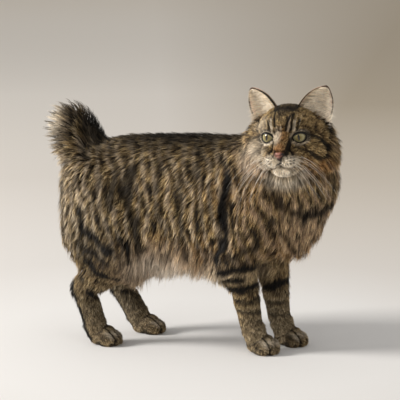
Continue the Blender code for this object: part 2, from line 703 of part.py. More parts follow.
def build_head():
    whole = head()
    ears = {side: ear_region(side) for side in (RIGHT, LEFT)}
    nodes = [node("head", whole, HEAD_REGION, list(ears.values()))]
    for side, name in SIDE_NAME.items():
        nodes.append(node("ear_" + name, whole, ears[side], [], PALE_FUR))
        eye = sphere("eye", eye_frame(side), EYE_RADIUS, 14, 9)
        nodes.append(plain("eye_" + name, eye, EYE))
    leather = flesh("nose", nose(0.0), 0.0009, 0.0009, 200)
    for side in (RIGHT, LEFT):
        nostril = HEAD @ Matrix.Translation((0.0525, side * 0.0036, -0.0105))
        size = Matrix.Diagonal((0.0026, 0.0015, 0.0012, 1))
        minus(leather, sphere("cutter", nostril @ size, 1, 10, 6))
    return nodes + [plain("nose", leather, NOSE)], whole


def build_body():
    """Torso, neck, tail and the tops of the limbs, all cut from one flesh."""
    limbs = [shape for side in (RIGHT, LEFT) for shape in foreleg(side) + hindleg(side)]
    shapes = trunk() + undercoat() + neck() + tail() + limbs + skull() + cheek_undercoat()
    whole = flesh("body", shapes, 0.0035, 0.0060, 2080)
    legs = [region for side in (RIGHT, LEFT) for region in REGIONS[side].values()]
    nodes = [
        node("torso", whole, None, [*legs, NECK_REGION, HEAD_REGION, TAIL_REGION]),
        node("neck", whole, NECK_REGION, [HEAD_REGION]),
        node("tail", whole, TAIL_REGION, []),
    ]
    for side, name in SIDE_NAME.items():
        own = REGIONS[side]
        nodes.append(node("upper_arm_" + name, whole, own["upper_arm"], [own["forearm"]]))
        nodes.append(node("thigh_" + name, whole, own["thigh"], [own["shank"], own["hindfoot"]]))
    return nodes, whole


def build_legs():
    """Forearms, shanks and feet, cut from finer flesh and set flat on the floor."""
    nodes = []
    for side, name in SIDE_NAME.items():
        own = REGIONS[side]
        fore = flesh("fore", foreleg(side), 0.0016, 0.0020, 860)
        hind = flesh("hind", hindleg(side) + haunch_coat(side), 0.0016, 0.0020, 1120)
        for whole in (fore, hind):
            cut_to(whole, FLOOR_UP, [])
        nodes.append(node("forearm_" + name, fore, own["forearm"], [own["forepaw"]]))
        nodes.append(node("forepaw_" + name, fore, own["forepaw"], []))
        nodes.append(node("shank_" + name, hind, own["shank"], [own["hindfoot"]]))
        nodes.append(node("hindfoot_" + name, hind, own["hindfoot"], []))
        bpy.data.objects.remove(fore)
        bpy.data.objects.remove(hind)
    return nodes


def coat_all(nodes, body_skin, head_skin):
    trees, placed = {made.name: tree_of(made) for made in nodes}, []
    by_name = {made.name: made for made in nodes}
    plan = [
        ("head", head_skin, (900, 0.60, 1.00, "EXACT")),
        ("neck", body_skin, (900, 0.62, 1.05, "MANIFOLD")),
        ("tail", body_skin, (1200, 0.45, 0.95, "MANIFOLD")),
        ("torso", body_skin, (4000, 0.66, 1.05, "MANIFOLD")),
    ]
    for side in SIDE_NAME.values():
        plan.append(("thigh_" + side, body_skin, (900, 0.70, 1.1, "MANIFOLD")))
        plan.append(("upper_arm_" + side, body_skin, (500, 0.75, 1.1, "MANIFOLD")))
    for name, skin, own in plan:
        coat_node(by_name[name], skin, own, trees, placed)


def centre_on_origin(nodes):
    """Moves the whole so that the middle of its box is over the origin."""
    points = [vert.co for made in nodes for vert in made.data.vertices]
    for axis in (0, 1):
        values = [point[axis] for point in points]
        move = Vector()
        move[axis] = -(min(values) + max(values)) / 2
        for made in nodes:
            made.data.transform(Matrix.Translation(move))
        print("moved", tuple(move))


body_nodes, body = build_body()
head_nodes, head_flesh = build_head()
nodes = body_nodes + build_legs() + head_nodes
coat_all(nodes, tree_of(body), tree_of(head_flesh))
bpy.data.objects.remove(body)
bpy.data.objects.remove(head_flesh)
centre_on_origin(nodes)
total = 0
for made in nodes:
    triangles = sum(len(polygon.vertices) - 2 for polygon in made.data.polygons)
    total += triangles
    print(made.name, triangles)
print("triangles", total)
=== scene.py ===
# %% [markdown]
# # A brown tabby bobtail cat, life size
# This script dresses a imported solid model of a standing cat. The solids give the size and the place
# of everything; what is made here is what they can't show: one skin without joints between the parts,
# real eyes, nose leather, whiskers, and above all the coat, strand by strand.

# %% Load the solids
import math

import bpy
import numpy as np
from mathutils import Matrix, Vector
from mathutils.bvhtree import BVHTree
from mathutils.kdtree import KDTree


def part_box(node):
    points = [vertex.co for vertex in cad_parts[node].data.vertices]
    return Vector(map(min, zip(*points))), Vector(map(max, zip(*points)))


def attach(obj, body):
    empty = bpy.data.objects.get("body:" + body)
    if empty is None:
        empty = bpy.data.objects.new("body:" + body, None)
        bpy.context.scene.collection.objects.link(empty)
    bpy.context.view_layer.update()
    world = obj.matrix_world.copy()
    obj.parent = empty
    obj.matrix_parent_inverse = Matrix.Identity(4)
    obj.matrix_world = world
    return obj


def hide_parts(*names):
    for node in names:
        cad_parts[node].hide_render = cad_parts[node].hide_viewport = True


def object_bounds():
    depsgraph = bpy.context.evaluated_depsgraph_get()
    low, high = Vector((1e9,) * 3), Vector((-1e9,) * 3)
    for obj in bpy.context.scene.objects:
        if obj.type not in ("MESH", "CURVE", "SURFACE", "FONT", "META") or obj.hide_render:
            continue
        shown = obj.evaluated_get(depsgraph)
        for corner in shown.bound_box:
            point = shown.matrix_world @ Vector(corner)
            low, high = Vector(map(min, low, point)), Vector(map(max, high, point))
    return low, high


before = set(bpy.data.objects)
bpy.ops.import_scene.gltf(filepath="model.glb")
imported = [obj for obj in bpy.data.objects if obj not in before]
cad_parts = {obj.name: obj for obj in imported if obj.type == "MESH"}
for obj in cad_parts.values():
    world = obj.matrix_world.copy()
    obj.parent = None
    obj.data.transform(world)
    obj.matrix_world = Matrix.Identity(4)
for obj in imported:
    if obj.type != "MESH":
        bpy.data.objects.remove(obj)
cad_box = [list(corner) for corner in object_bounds()]
print("solids:", len(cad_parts), "nodes, box", [[round(v, 4) for v in corner] for corner in cad_box])

# %% [markdown]
# ## Small helpers
# An operator acts on all that is selected, so one helper selects a single thing before each step.
# Another one applies a modifier, so that its result becomes the mesh itself.

# %% Selecting, applying and making new objects
def take(*things):
    """Selects these objects only, with the first one active."""
    for other in list(bpy.context.selected_objects):
        other.select_set(False)
    for thing in things:
        thing.select_set(True)
        bpy.context.view_layer.objects.active = things[0]


def apply_modifier(thing, kind, **settings):
    modifier = thing.modifiers.new(kind.title(), kind)
    for key, value in settings.items():
        setattr(modifier, key, value)
    take(thing)
    bpy.ops.object.modifier_apply(modifier=modifier.name)


def new_object(name, mesh):
    made = bpy.data.objects.new(name, mesh)
    bpy.context.scene.collection.objects.link(made)
    return made


take()

# %% [markdown]
# ## The cat's measures
# The solids were built from a few driving places: the feet, hocks and knees, the line of the back, and
# the head's frame, whose x runs to the nose, y to the cat's left and z up through the crown. The same
# places are repeated here, so that skin and coat lie exactly where the solids are. Everything is in
# metres, and SHIFT is how far the finished solids were moved to stand over the origin.

# %% Driving places
RIGHT, LEFT = -1, 1
SIDE_NAME = {RIGHT: "right", LEFT: "left"}
SHIFT = Vector((0.015711896, 0.008257754, 0))
WORLD = Matrix.Translation(SHIFT)
HEAD = (
    WORLD
    @ Matrix.Translation((0.132, -0.048, 0.2785))
    @ Matrix.Rotation(math.radians(-87), 4, "Z")
    @ Matrix.Rotation(math.radians(2.5), 4, "X")
)
FORE_FEET = {RIGHT: Vector((0.094, -0.028, 0)), LEFT: Vector((0.117, 0.028, 0))}
HIND_FEET = {RIGHT: Vector((-0.121, -0.044, 0)), LEFT: Vector((-0.090, 0.041, 0))}
HOCKS = {RIGHT: Vector((-0.149, -0.044, 0.075)), LEFT: Vector((-0.128, 0.042, 0.066))}
KNEES = {RIGHT: Vector((-0.094, -0.048, 0.124)), LEFT: Vector((-0.078, 0.047, 0.124))}
FORE_TURN = {RIGHT: math.radians(-24), LEFT: math.radians(-14)}
HIND_TURN = {RIGHT: math.radians(-8), LEFT: math.radians(4)}
ELBOW_Z, SHOULDER_Z, HIP_Z = 0.130, 0.198, 0.200
TAIL_ROOT = Vector((-0.160, 0.0, 0.246))
TRUNK = (
    (-0.150, 0.214, 0.030, 0.036), (-0.125, 0.212, 0.041, 0.050), (-0.095, 0.211, 0.046, 0.058),
    (-0.050, 0.210, 0.046, 0.062), (0.000, 0.208, 0.048, 0.065), (0.045, 0.206, 0.050, 0.067),
    (0.080, 0.208, 0.046, 0.066), (0.110, 0.207, 0.042, 0.060), (0.128, 0.205, 0.036, 0.050),
)

# %% Sizes of the eyes and ears
EYE_RADIUS, LID_THICKNESS = 0.0103, 0.0017
EYE_AT = (0.0130, 0.0182, 0.0105)
EYE_TURN, EYE_SLANT = math.radians(19), math.radians(9)
EYE_OPENING = (0.0089, 0.0064)
EAR_ROOT, EAR_TIP = (-0.019, 0.028, 0.030), (-0.018, 0.050, 0.0685)
EAR_TURN = math.radians(22)
EAR_HALF_WIDTH, EAR_DEPTH, EAR_WALL = 0.0205, 0.013, 0.0015


def eye_frame(side):
    """x the way the eye's opening faces, y to the cat's left, z up."""
    at = Matrix.Translation((EYE_AT[0], side * EYE_AT[1], EYE_AT[2]))
    turn = Matrix.Rotation(side * EYE_TURN, 4, "Z") @ Matrix.Rotation(side * EYE_SLANT, 4, "X")
    return HEAD @ at @ turn


low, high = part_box("eye_left")
print("eye centre is off the solid's by", round(((low + high) / 2 - eye_frame(LEFT).translation).length, 5))

# %% [markdown]
# ## The body's form, from balls
# A cat's body is soft, with no edges anywhere, so its form is a union of balls: single ones for skull,
# cheeks and haunches, and close rows of them for the limbs. Each ball also knows how deep the coat is
# over it. Grown by that depth, the same balls give the surface where the tips of the coat lie.

# %% Balls and limbs
FOOT_COAT, LEG_COAT, FACE_COAT, CHEEK_COAT = 0.0010, 0.0035, 0.0022, 0.0120
BODY_COAT, RUFF_COAT, TAIL_COAT, UNDERCOAT = 0.0110, 0.0200, 0.0160, 0.0210


def ball(at, half, coat=0.0, pitch=0.0, place=WORLD):
    """A ball by its centre, half sizes, depth of coat, and pitch nose down."""
    return [(place @ Matrix.Translation(Vector(at)) @ Matrix.Rotation(pitch, 4, "Y"), Vector(half), coat)]


def limb(points, radii, coat=0.0, place=WORLD):
    """Balls close together along the runs between points, with the radius changing evenly."""
    row = []
    for start, end, thick, thin in zip(points, points[1:], radii, radii[1:]):
        start, end = Vector(start), Vector(end)
        steps = max(2, math.ceil((end - start).length / (0.35 * min(thick, thin))))
        for i in range(steps + 1):
            share = i / steps
            radius = thick + (thin - thick) * share
            row += ball(start.lerp(end, share), (radius,) * 3, coat, 0.0, place)
    return row


# %% Trunk, neck and tail
def trunk():
    row = []
    for rear, front in zip(TRUNK, TRUNK[1:]):
        for i in range(4):
            x, z, width, height = Vector(rear).lerp(Vector(front), i / 4)
            row += ball((x, 0, z), (0.030, width, height), BODY_COAT)
    return row


def under_long_hair():
    """Soft masses of wool under the long hair of belly, chest, rump, flanks and haunches."""
    wool = limb([(-0.070, 0, 0.160), (0.060, 0, 0.155)], (0.022, 0.024), UNDERCOAT)
    wool += limb(
        [(0.118, 0, 0.185), (0.140, -0.006, 0.222), (0.142, -0.018, 0.250)],
        (0.032, 0.030, 0.024), UNDERCOAT,
    )
    wool += limb([(-0.140, -0.020, 0.226), (-0.140, 0.020, 0.226)], (0.020, 0.020), UNDERCOAT)
    for side in (RIGHT, LEFT):
        rump = [(-0.143, side * 0.030, 0.215), (-0.142, side * 0.038, 0.150)]
        flank = [(-0.050, side * 0.030, 0.168), (0.050, side * 0.030, 0.170)]
        wool += limb(rump, (0.021, 0.015), UNDERCOAT) + limb(flank, (0.022, 0.024), UNDERCOAT)
        britches = [(-0.142, side * 0.038, 0.150), (-0.133, side * 0.042, 0.122)]
        fold = [(-0.098, side * 0.044, 0.160), (-0.050, side * 0.030, 0.168)]
        wool += limb(britches, (0.015, 0.008), UNDERCOAT) + limb(fold, (0.018, 0.022), UNDERCOAT)
    return wool


def neck():
    points = [(0.104, 0, 0.226), (0.126, -0.010, 0.252), (0.138, -0.024, 0.268)]
    return limb(points, (0.046, 0.042, 0.036), RUFF_COAT)


def tail():
    points = [TAIL_ROOT, (-0.166, 0, 0.264), (-0.171, 0, 0.280), (-0.179, 0, 0.292)]
    return limb(points, (0.018, 0.015, 0.0145, 0.011), TAIL_COAT)


# %% [markdown]
# A cat stands on its toes. Each paw is a pad with four toes in a row, the two in the middle further
# forward. The metatarsus rises steeply to the hock, which points back, and the forearm is straight.

# %% Legs and paws
def paw(foot, turn):
    place = WORLD @ Matrix.Translation(foot) @ Matrix.Rotation(turn, 4, "Z")
    shapes = ball((-0.002, 0, 0.0125), (0.0180, 0.0145, 0.0130), FOOT_COAT, 0, place)
    for across, forward in ((-0.0122, 0), (-0.0043, 0.005), (0.0043, 0.005), (0.0122, 0)):
        toe = (0.0085 + forward, across, 0.0085)
        shapes += ball(toe, (0.0105, 0.0050, 0.0085), FOOT_COAT, math.radians(12), place)
    return shapes


def foreleg(side):
    """Upper part, which the trunk holds, lower part and paw."""
    foot = FORE_FEET[side]
    shoulder = Vector((0.094, side * 0.036, SHOULDER_Z))
    elbow = Vector((foot.x - 0.032, side * 0.042, ELBOW_Z))
    forearm = foot + Vector((-0.022, side * 0.004, 0.085))
    wrist = foot + Vector((-0.015, 0, 0.042))
    pastern = foot + Vector((-0.008, 0, 0.022))
    upper = ball((0.076, side * 0.032, 0.232), (0.036, 0.016, 0.038), BODY_COAT, math.radians(-20))
    upper += limb((shoulder, elbow), (0.028, 0.0215), BODY_COAT)
    lower = limb((elbow, forearm), (0.0205, 0.0152), 0.0048)
    lower += limb((forearm, wrist, pastern), (0.0152, 0.0130, 0.0130), LEG_COAT)
    return upper, lower, paw(foot, FORE_TURN[side])


def hindleg(side):
    foot, hock, knee = HIND_FEET[side], HOCKS[side], KNEES[side]
    hip = Vector((-0.130, side * 0.030, HIP_Z))
    pastern = foot + Vector((-0.010, 0, 0.019))
    upper = ball((-0.124, side * 0.034, 0.172), (0.046, 0.025, 0.054), BODY_COAT, math.radians(30))
    upper += limb((hip, knee), (0.036, 0.026), BODY_COAT)
    lower = limb((knee, hock), (0.0255, 0.0130), 0.0055)
    lower += limb((hock, pastern), (0.0128, 0.0128), LEG_COAT)
    return upper, lower, paw(foot, HIND_TURN[side])


# %% [markdown]
# The skull is short and broad, with a strong square muzzle: two whisker pads, a chin below them, a
# nose bridge, brows over the eyes, and full cheeks that merge into the ruff.

# %% Skull and nose
def skull():
    shapes = ball((-0.014, 0, 0.014), (0.037, 0.036, 0.032), FACE_COAT, 0, HEAD)
    shapes += ball((-0.028, 0, 0.000), (0.024, 0.031, 0.030), CHEEK_COAT, 0, HEAD)
    shapes += ball((0.004, 0, 0.020), (0.021, 0.026, 0.021), FACE_COAT, math.radians(20), HEAD)
    shapes += limb([(0.020, 0, 0.009), (0.043, 0, -0.006)], (0.0110, 0.0076), 0.0010, HEAD)
    shapes += ball((0.012, 0, -0.024), (0.028, 0.018, 0.012), FACE_COAT, 0, HEAD)
    shapes += ball((0.0335, 0, -0.0285), (0.0105, 0.0092, 0.0068), 0.0010, 0, HEAD)
    shapes += ball((-0.012, 0, -0.022), (0.028, 0.026, 0.020), CHEEK_COAT, 0, HEAD)
    for side in (RIGHT, LEFT):
        shapes += ball((-0.006, side * 0.024, -0.010), (0.025, 0.018, 0.021), CHEEK_COAT, 0, HEAD)
        shapes += ball((0.017, side * 0.013, -0.009), (0.019, 0.013, 0.014), FACE_COAT, 0, HEAD)
        shapes += ball((0.026, side * 0.0125, -0.0160), (0.0150, 0.0115, 0.0105), 0.0016, 0, HEAD)
        shapes += ball((0.0365, side * 0.0078, -0.0165), (0.0115, 0.0098, 0.0085), 0.0012, 0, HEAD)
        shapes += ball((0.000, side * 0.018, 0.020), (0.0165, 0.014, 0.0105), FACE_COAT, 0, HEAD)
    return shapes


def cheek_wool():
    wool = []
    for side in (RIGHT, LEFT):
        line = [(-0.016, side * 0.028, 0.006), (-0.014, side * 0.030, -0.018)]
        wool += limb(line, (0.011, 0.0115), UNDERCOAT, HEAD)
    return wool


def nose_leather():
    shapes = ball((0.0475, 0, -0.0085), (0.0048, 0.0064, 0.0040), 0, math.radians(-20), HEAD)
    return shapes + ball((0.0480, 0, -0.0125), (0.0040, 0.0034, 0.0038), 0, 0, HEAD)


# %% [markdown]
# ## Fusing the balls into a skin
# One sphere is added with its operator, and its points are stamped at the size and place of every
# ball. A voxel remesh turns the overlapping balls into one closed surface, and a smoothing modifier
# rounds the creases between them, as flesh and skin do.

# %% One sphere to stamp, and the fuse helper
bpy.ops.mesh.primitive_uv_sphere_add(segments=24, ring_count=14, radius=1)
stamp = bpy.context.object
STAMP_POINTS = np.array([vert.co for vert in stamp.data.vertices])
STAMP_FACES = [tuple(face.vertices) for face in stamp.data.polygons]
bpy.data.objects.remove(stamp)


def fuse(name, shapes, coat_share, voxel, smoothing):
    """One closed surface round all the shapes, each grown by that share of its coat."""
    points, faces = [], []
    for place, half, coat in shapes:
        grown = np.array(place @ Matrix.Diagonal((*(half + Vector((coat * coat_share,) * 3)), 1)))
        start = len(points) * len(STAMP_POINTS)
        faces += [tuple(corner + start for corner in face) for face in STAMP_FACES]
        points.append(STAMP_POINTS @ grown[:3, :3].T + grown[:3, 3])
    mesh = bpy.data.meshes.new(name)
    mesh.from_pydata(np.concatenate(points).tolist(), [], faces)
    made = new_object(name, mesh)
    apply_modifier(made, "REMESH", mode="VOXEL", voxel_size=voxel)
    if smoothing:
        apply_modifier(made, "SMOOTH", factor=0.5, iterations=max(1, round((smoothing / voxel) ** 2)))
    print(name, len(shapes), "balls,", len(made.data.polygons), "faces")
    return made


# %% Shells of the skin: trunk, legs and paws
def grown(shapes, share):
    """The same balls with that share of the coat's depth as flesh and underfur."""
    return [(place, half + Vector((coat * share,) * 3), coat * (1 - share)) for place, half, coat in shapes]


uppers, lowers, paws = [], [], []
for side in (RIGHT, LEFT):
    for upper, lower, foot in (foreleg(side), hindleg(side)):
        uppers += upper
        lowers.append(upper[-2:] + lower + foot[:1])
        paws.append(foot + lower[-3:])
trunk_shapes = grown(trunk() + under_long_hair() + neck() + uppers, 0.35) + tail()
shells = [fuse("trunk_skin", trunk_shapes, 0, 0.0040, 0.006)]
shells += [fuse("leg_skin", shapes, 0, 0.0024, 0.0030) for shapes in lowers]
shells += [fuse("paw_skin", shapes, 0, 0.0013, 0.0013) for shapes in paws]

# %% [markdown]
# ## Lids and eye openings
# The lids are a thin dome round each eyeball. The dome is fused into the head like any other ball, so
# brow and cheek run softly into it. Then an almond-shaped plug and a ball a little larger than the eye
# are cut out with a Boolean, which leaves the rim of the lids standing round the eye.

# %% The head with its eye openings
def ball_object(name, place, radius, segments=48, rings=32):
    bpy.ops.mesh.primitive_uv_sphere_add(segments=segments, ring_count=rings, radius=radius)
    made = bpy.context.object
    made.name = made.data.name = name
    made.data.transform(place @ Matrix.Rotation(math.pi / 2, 4, "Y"))
    return made


def almond(turn, grow=1.0):
    """A point on the outline of the eye's opening, across and up."""
    up = math.copysign(abs(math.sin(turn)) ** 1.25, math.sin(turn)) * (0.80 if turn % (2 * math.pi) < math.pi else 1.0)
    return grow * EYE_OPENING[0] * math.cos(turn), grow * EYE_OPENING[1] * up


def almond_plug(side):
    bpy.ops.mesh.primitive_cylinder_add(vertices=48, radius=1, depth=1)
    made = bpy.context.object
    for vert in made.data.vertices:
        across, up = almond(math.atan2(vert.co.y, vert.co.x))
        vert.co = eye_frame(side) @ Vector((0.004 + 0.016 * (vert.co.z + 0.5), across, up))
    take(made)
    bpy.ops.object.mode_set(mode="EDIT")
    bpy.ops.mesh.select_all(action="SELECT")
    bpy.ops.mesh.normals_make_consistent(inside=False)
    bpy.ops.object.mode_set(mode="OBJECT")
    return made


def cut_out(made, cutter):
    apply_modifier(made, "BOOLEAN", object=cutter, operation="DIFFERENCE", solver="MANIFOLD")
    bpy.data.objects.remove(cutter)


lids = [shape for side in (RIGHT, LEFT) for shape in ball(
    (0, 0, 0), (EYE_RADIUS + LID_THICKNESS,) * 3, 0, 0, eye_frame(side))]
throat = limb([(0.130, -0.016, 0.258), (0.138, -0.024, 0.268)], (0.038, 0.036), RUFF_COAT)
# Flesh that fills the creases: between muzzle and cheeks, and where the forehead meets the bridge.
flesh = ball((0.0115, 0, 0.0225), (0.0175, 0.0135, 0.0145), 0, 0, HEAD)
for side in (RIGHT, LEFT):
    flesh += ball((0.0195, side * 0.0195, -0.0175), (0.0160, 0.0115, 0.0105), 0.0016, 0, HEAD)
head_shapes = grown(skull() + cheek_wool(), 0.52) + grown(throat, 0.35) + flesh
head_skin = fuse("head_skin", head_shapes + lids, 0, 0.00125, 0.0016)
head_tree = BVHTree.FromObject(head_skin, bpy.context.evaluated_depsgraph_get())
for side in (RIGHT, LEFT):
    cut_out(head_skin, almond_plug(side))
    cut_out(head_skin, ball_object("socket", eye_frame(side), EYE_RADIUS + 0.0003))
print("head skin with openings:", len(head_skin.data.polygons), "faces")

# %% [markdown]
# The shells overlap and become one object, which stands for all the nodes of flesh. It is unwrapped
# once: the map carries the places of all the roots, so that each strand knows its spot on the skin.

# %% One skin, unwrapped
skin = shells[0]
take(skin, *shells[1:], head_skin)
bpy.ops.object.join()
skin.name = skin.data.name = "skin"
take(skin)
bpy.ops.object.mode_set(mode="EDIT")
bpy.ops.mesh.select_all(action="SELECT")
bpy.ops.uv.smart_project(angle_limit=math.radians(75), island_margin=0.002)
bpy.ops.object.mode_set(mode="OBJECT")
skin.data.uv_layers.active.name = "OFBake"
skin.data.polygons.foreach_set("use_smooth", np.ones(len(skin.data.polygons), bool))
flesh_nodes = [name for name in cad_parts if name.split("_")[0] not in ("eye", "ear", "nose")]
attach(skin, "root")
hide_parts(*flesh_nodes)
skin_triangles = sum(len(face.vertices) - 2 for face in skin.data.polygons)
print("skin:", skin_triangles, "triangles, stands for", len(flesh_nodes), "nodes")

# %% [markdown]
# ## Colours and a small helper for nodes
# Every colour is written as an sRGB hex value, as a picker shows it, and turned to the linear values
# that a shader wants by one function. Another small function adds a node with its settings and links.

# %% Colour and node helpers
def srgb(code):
    """An sRGB hex colour as linear red, green, blue and alpha."""
    parts = [int(code[i:i + 2], 16) / 255 for i in (1, 3, 5)]
    return (*[v / 12.92 if v <= 0.04045 else ((v + 0.055) / 1.055) ** 2.4 for v in parts], 1.0)


def add(tree, kind, inputs=None, **settings):
    """A node of that kind, with its settings, and its inputs linked or set."""
    made = tree.nodes.new(kind)
    for key, value in settings.items():
        setattr(made, key, value)
    for key, value in (inputs or {}).items():
        if isinstance(value, bpy.types.NodeSocket):
            tree.links.new(value, made.inputs[key])
        else:
            made.inputs[key].default_value = value
    return made


def new_material(name, **shader_values):
    """A material with its shader's fixed numbers set, and the tree and shader to build on."""
    made = bpy.data.materials.new(name)
    made.use_nodes = True
    shader = made.node_tree.nodes["Principled BSDF"]
    for key, value in shader_values.items():
        shader.inputs[key.replace("_", " ")].default_value = value
    return made, made.node_tree, shader


def set_stops(ramp_node, stops):
    ramp = ramp_node.color_ramp
    while len(ramp.elements) < len(stops):
        ramp.elements.new(1.0)
    for element, (place, code) in zip(ramp.elements, stops):
        element.position, element.color = place, srgb(code)
    return ramp_node.outputs["Color"]


# %% [markdown]
# ## Which way the hair lies
# A coat looks right when its hair lies as on the real animal: back from the nose over the crown, back and down along
# the flanks, down the chest and legs, forward over the toes. At each of these places the direction, the length, how
# far the tip stands off and how freely it hangs are known; in between they blend. Each table is for both sides, and
# each has its own reach, given where the tables are placed.

# %% Lie of the coat on the body
BODY_LIE = (
    ((0.080, 0.015, 0.280), (-1.0, 0.1, -0.15), 0.022, 0.001, 0.1),
    ((0.000, 0.015, 0.277), (-1.0, 0.1, -0.15), 0.022, 0.001, 0.1),
    ((-0.100, 0.015, 0.272), (-1.0, 0.1, -0.15), 0.023, 0.001, 0.1),
    ((-0.175, 0.020, 0.235), (-0.45, 0.2, -0.85), 0.026, 0.003, 0.2),
    ((-0.178, 0.030, 0.180), (-0.30, 0.1, -0.93), 0.030, 0.004, 0.3),
    ((-0.160, 0.040, 0.130), (-0.25, 0.1, -0.95), 0.028, 0.004, 0.4),
    ((0.060, 0.050, 0.240), (-0.50, 0.1, -0.85), 0.024, 0.001, 0.1),
    ((-0.010, 0.052, 0.235), (-0.60, 0.1, -0.78), 0.024, 0.001, 0.1),
    ((-0.090, 0.055, 0.235), (-0.55, 0.1, -0.82), 0.024, 0.001, 0.1),
    ((0.010, 0.066, 0.175), (-0.32, 0.1, -0.94), 0.026, 0.001, 0.1),
    ((-0.060, 0.066, 0.170), (-0.32, 0.1, -0.94), 0.026, 0.001, 0.1),
    ((0.020, 0.045, 0.130), (-0.22, 0.0, -0.97), 0.034, 0.006, 0.9),
    ((-0.045, 0.045, 0.130), (-0.25, 0.0, -0.96), 0.037, 0.007, 0.9),
    ((0.000, 0.000, 0.120), (-0.35, 0.0, -0.93), 0.034, 0.006, 0.9),
    ((0.075, 0.064, 0.200), (-0.22, 0.1, -0.96), 0.023, 0.001, 0.1),
    ((0.055, 0.062, 0.150), (-0.40, 0.0, -0.90), 0.020, 0.001, 0.2),
    ((-0.125, 0.068, 0.190), (-0.42, 0.1, -0.90), 0.024, 0.001, 0.1),
    ((-0.095, 0.072, 0.150), (-0.35, 0.1, -0.92), 0.021, 0.001, 0.1),
    ((-0.135, 0.058, 0.110), (-0.50, 0.0, -0.86), 0.019, 0.001, 0.2),
    ((0.165, 0.000, 0.190), (0.05, 0.0, -0.99), 0.027, 0.001, 0.1),
    ((0.150, 0.030, 0.200), (0.05, 0.2, -0.97), 0.027, 0.001, 0.1),
    ((0.150, 0.020, 0.165), (-0.12, 0.0, -0.98), 0.034, 0.002, 0.6),
    ((0.138, 0.014, 0.143), (-0.22, 0.0, -0.97), 0.040, 0.004, 0.9),
    ((0.122, 0.034, 0.130), (-0.30, 0.0, -0.95), 0.026, 0.002, 0.5),
    ((0.100, 0.052, 0.245), (-0.20, 0.3, -0.92), 0.026, 0.002, 0.1),
    ((0.100, 0.045, 0.125), (-0.30, 0.0, -0.94), 0.018, 0.001, 0.2),
    ((-0.180, 0.006, 0.255), (-0.85, 0.2, -0.45), 0.030, 0.006, 0.8),
    ((-0.188, 0.008, 0.280), (-0.95, 0.2, 0.15), 0.032, 0.006, 0.8),
    ((-0.146, 0.006, 0.273), (-0.15, 0.1, 0.97), 0.017, 0.000, 0.1),
    ((-0.152, 0.006, 0.296), (-0.35, 0.1, 0.92), 0.019, 0.000, 0.2),
    ((-0.188, 0.000, 0.303), (-0.90, 0.1, 0.35), 0.030, 0.003, 0.7),
)
FORE_LIE = (
    ((-0.020, 0.010, 0.100), (-0.15, 0.0, -1.0), 0.012, 0.001, 0.1),
    ((-0.038, 0.000, 0.088), (-0.40, 0.0, -0.9), 0.014, 0.002, 0.3),
    ((-0.012, 0.000, 0.052), (-0.05, 0.0, -1.0), 0.008, 0.001, 0.1),
    ((-0.028, 0.000, 0.046), (-0.25, 0.0, -0.95), 0.009, 0.001, 0.1),
    ((-0.002, 0.000, 0.028), (0.45, 0.0, -0.90), 0.008, 0.001, 0.1),
    ((0.006, 0.000, 0.020), (0.85, 0.0, -0.50), 0.0060, 0.001, 0.1),
    ((0.020, 0.000, 0.008), (0.80, 0.0, -0.60), 0.0045, 0.001, 0.1),
    ((-0.018, 0.000, 0.006), (-0.50, 0.0, -0.80), 0.0060, 0.001, 0.1),
)
HIND_LIE = (
    ((0.010, 0.010, 0.100), (-0.35, 0.0, -0.93), 0.015, 0.001, 0.1),
    ((-0.014, 0.000, 0.082), (-0.45, 0.0, -0.90), 0.012, 0.001, 0.1),
    ((-0.018, 0.000, 0.050), (0.10, 0.0, -1.0), 0.008, 0.001, 0.1),
    ((-0.046, 0.000, 0.064), (-0.28, 0.0, -0.95), 0.014, 0.003, 0.3),
    ((-0.032, 0.000, 0.034), (-0.15, 0.0, -0.98), 0.012, 0.002, 0.2),
    ((0.004, 0.000, 0.022), (0.85, 0.0, -0.50), 0.0060, 0.001, 0.1),
    ((0.020, 0.000, 0.008), (0.80, 0.0, -0.60), 0.0045, 0.001, 0.1),
    ((-0.020, 0.000, 0.008), (-0.50, 0.0, -0.80), 0.0060, 0.001, 0.1),
)

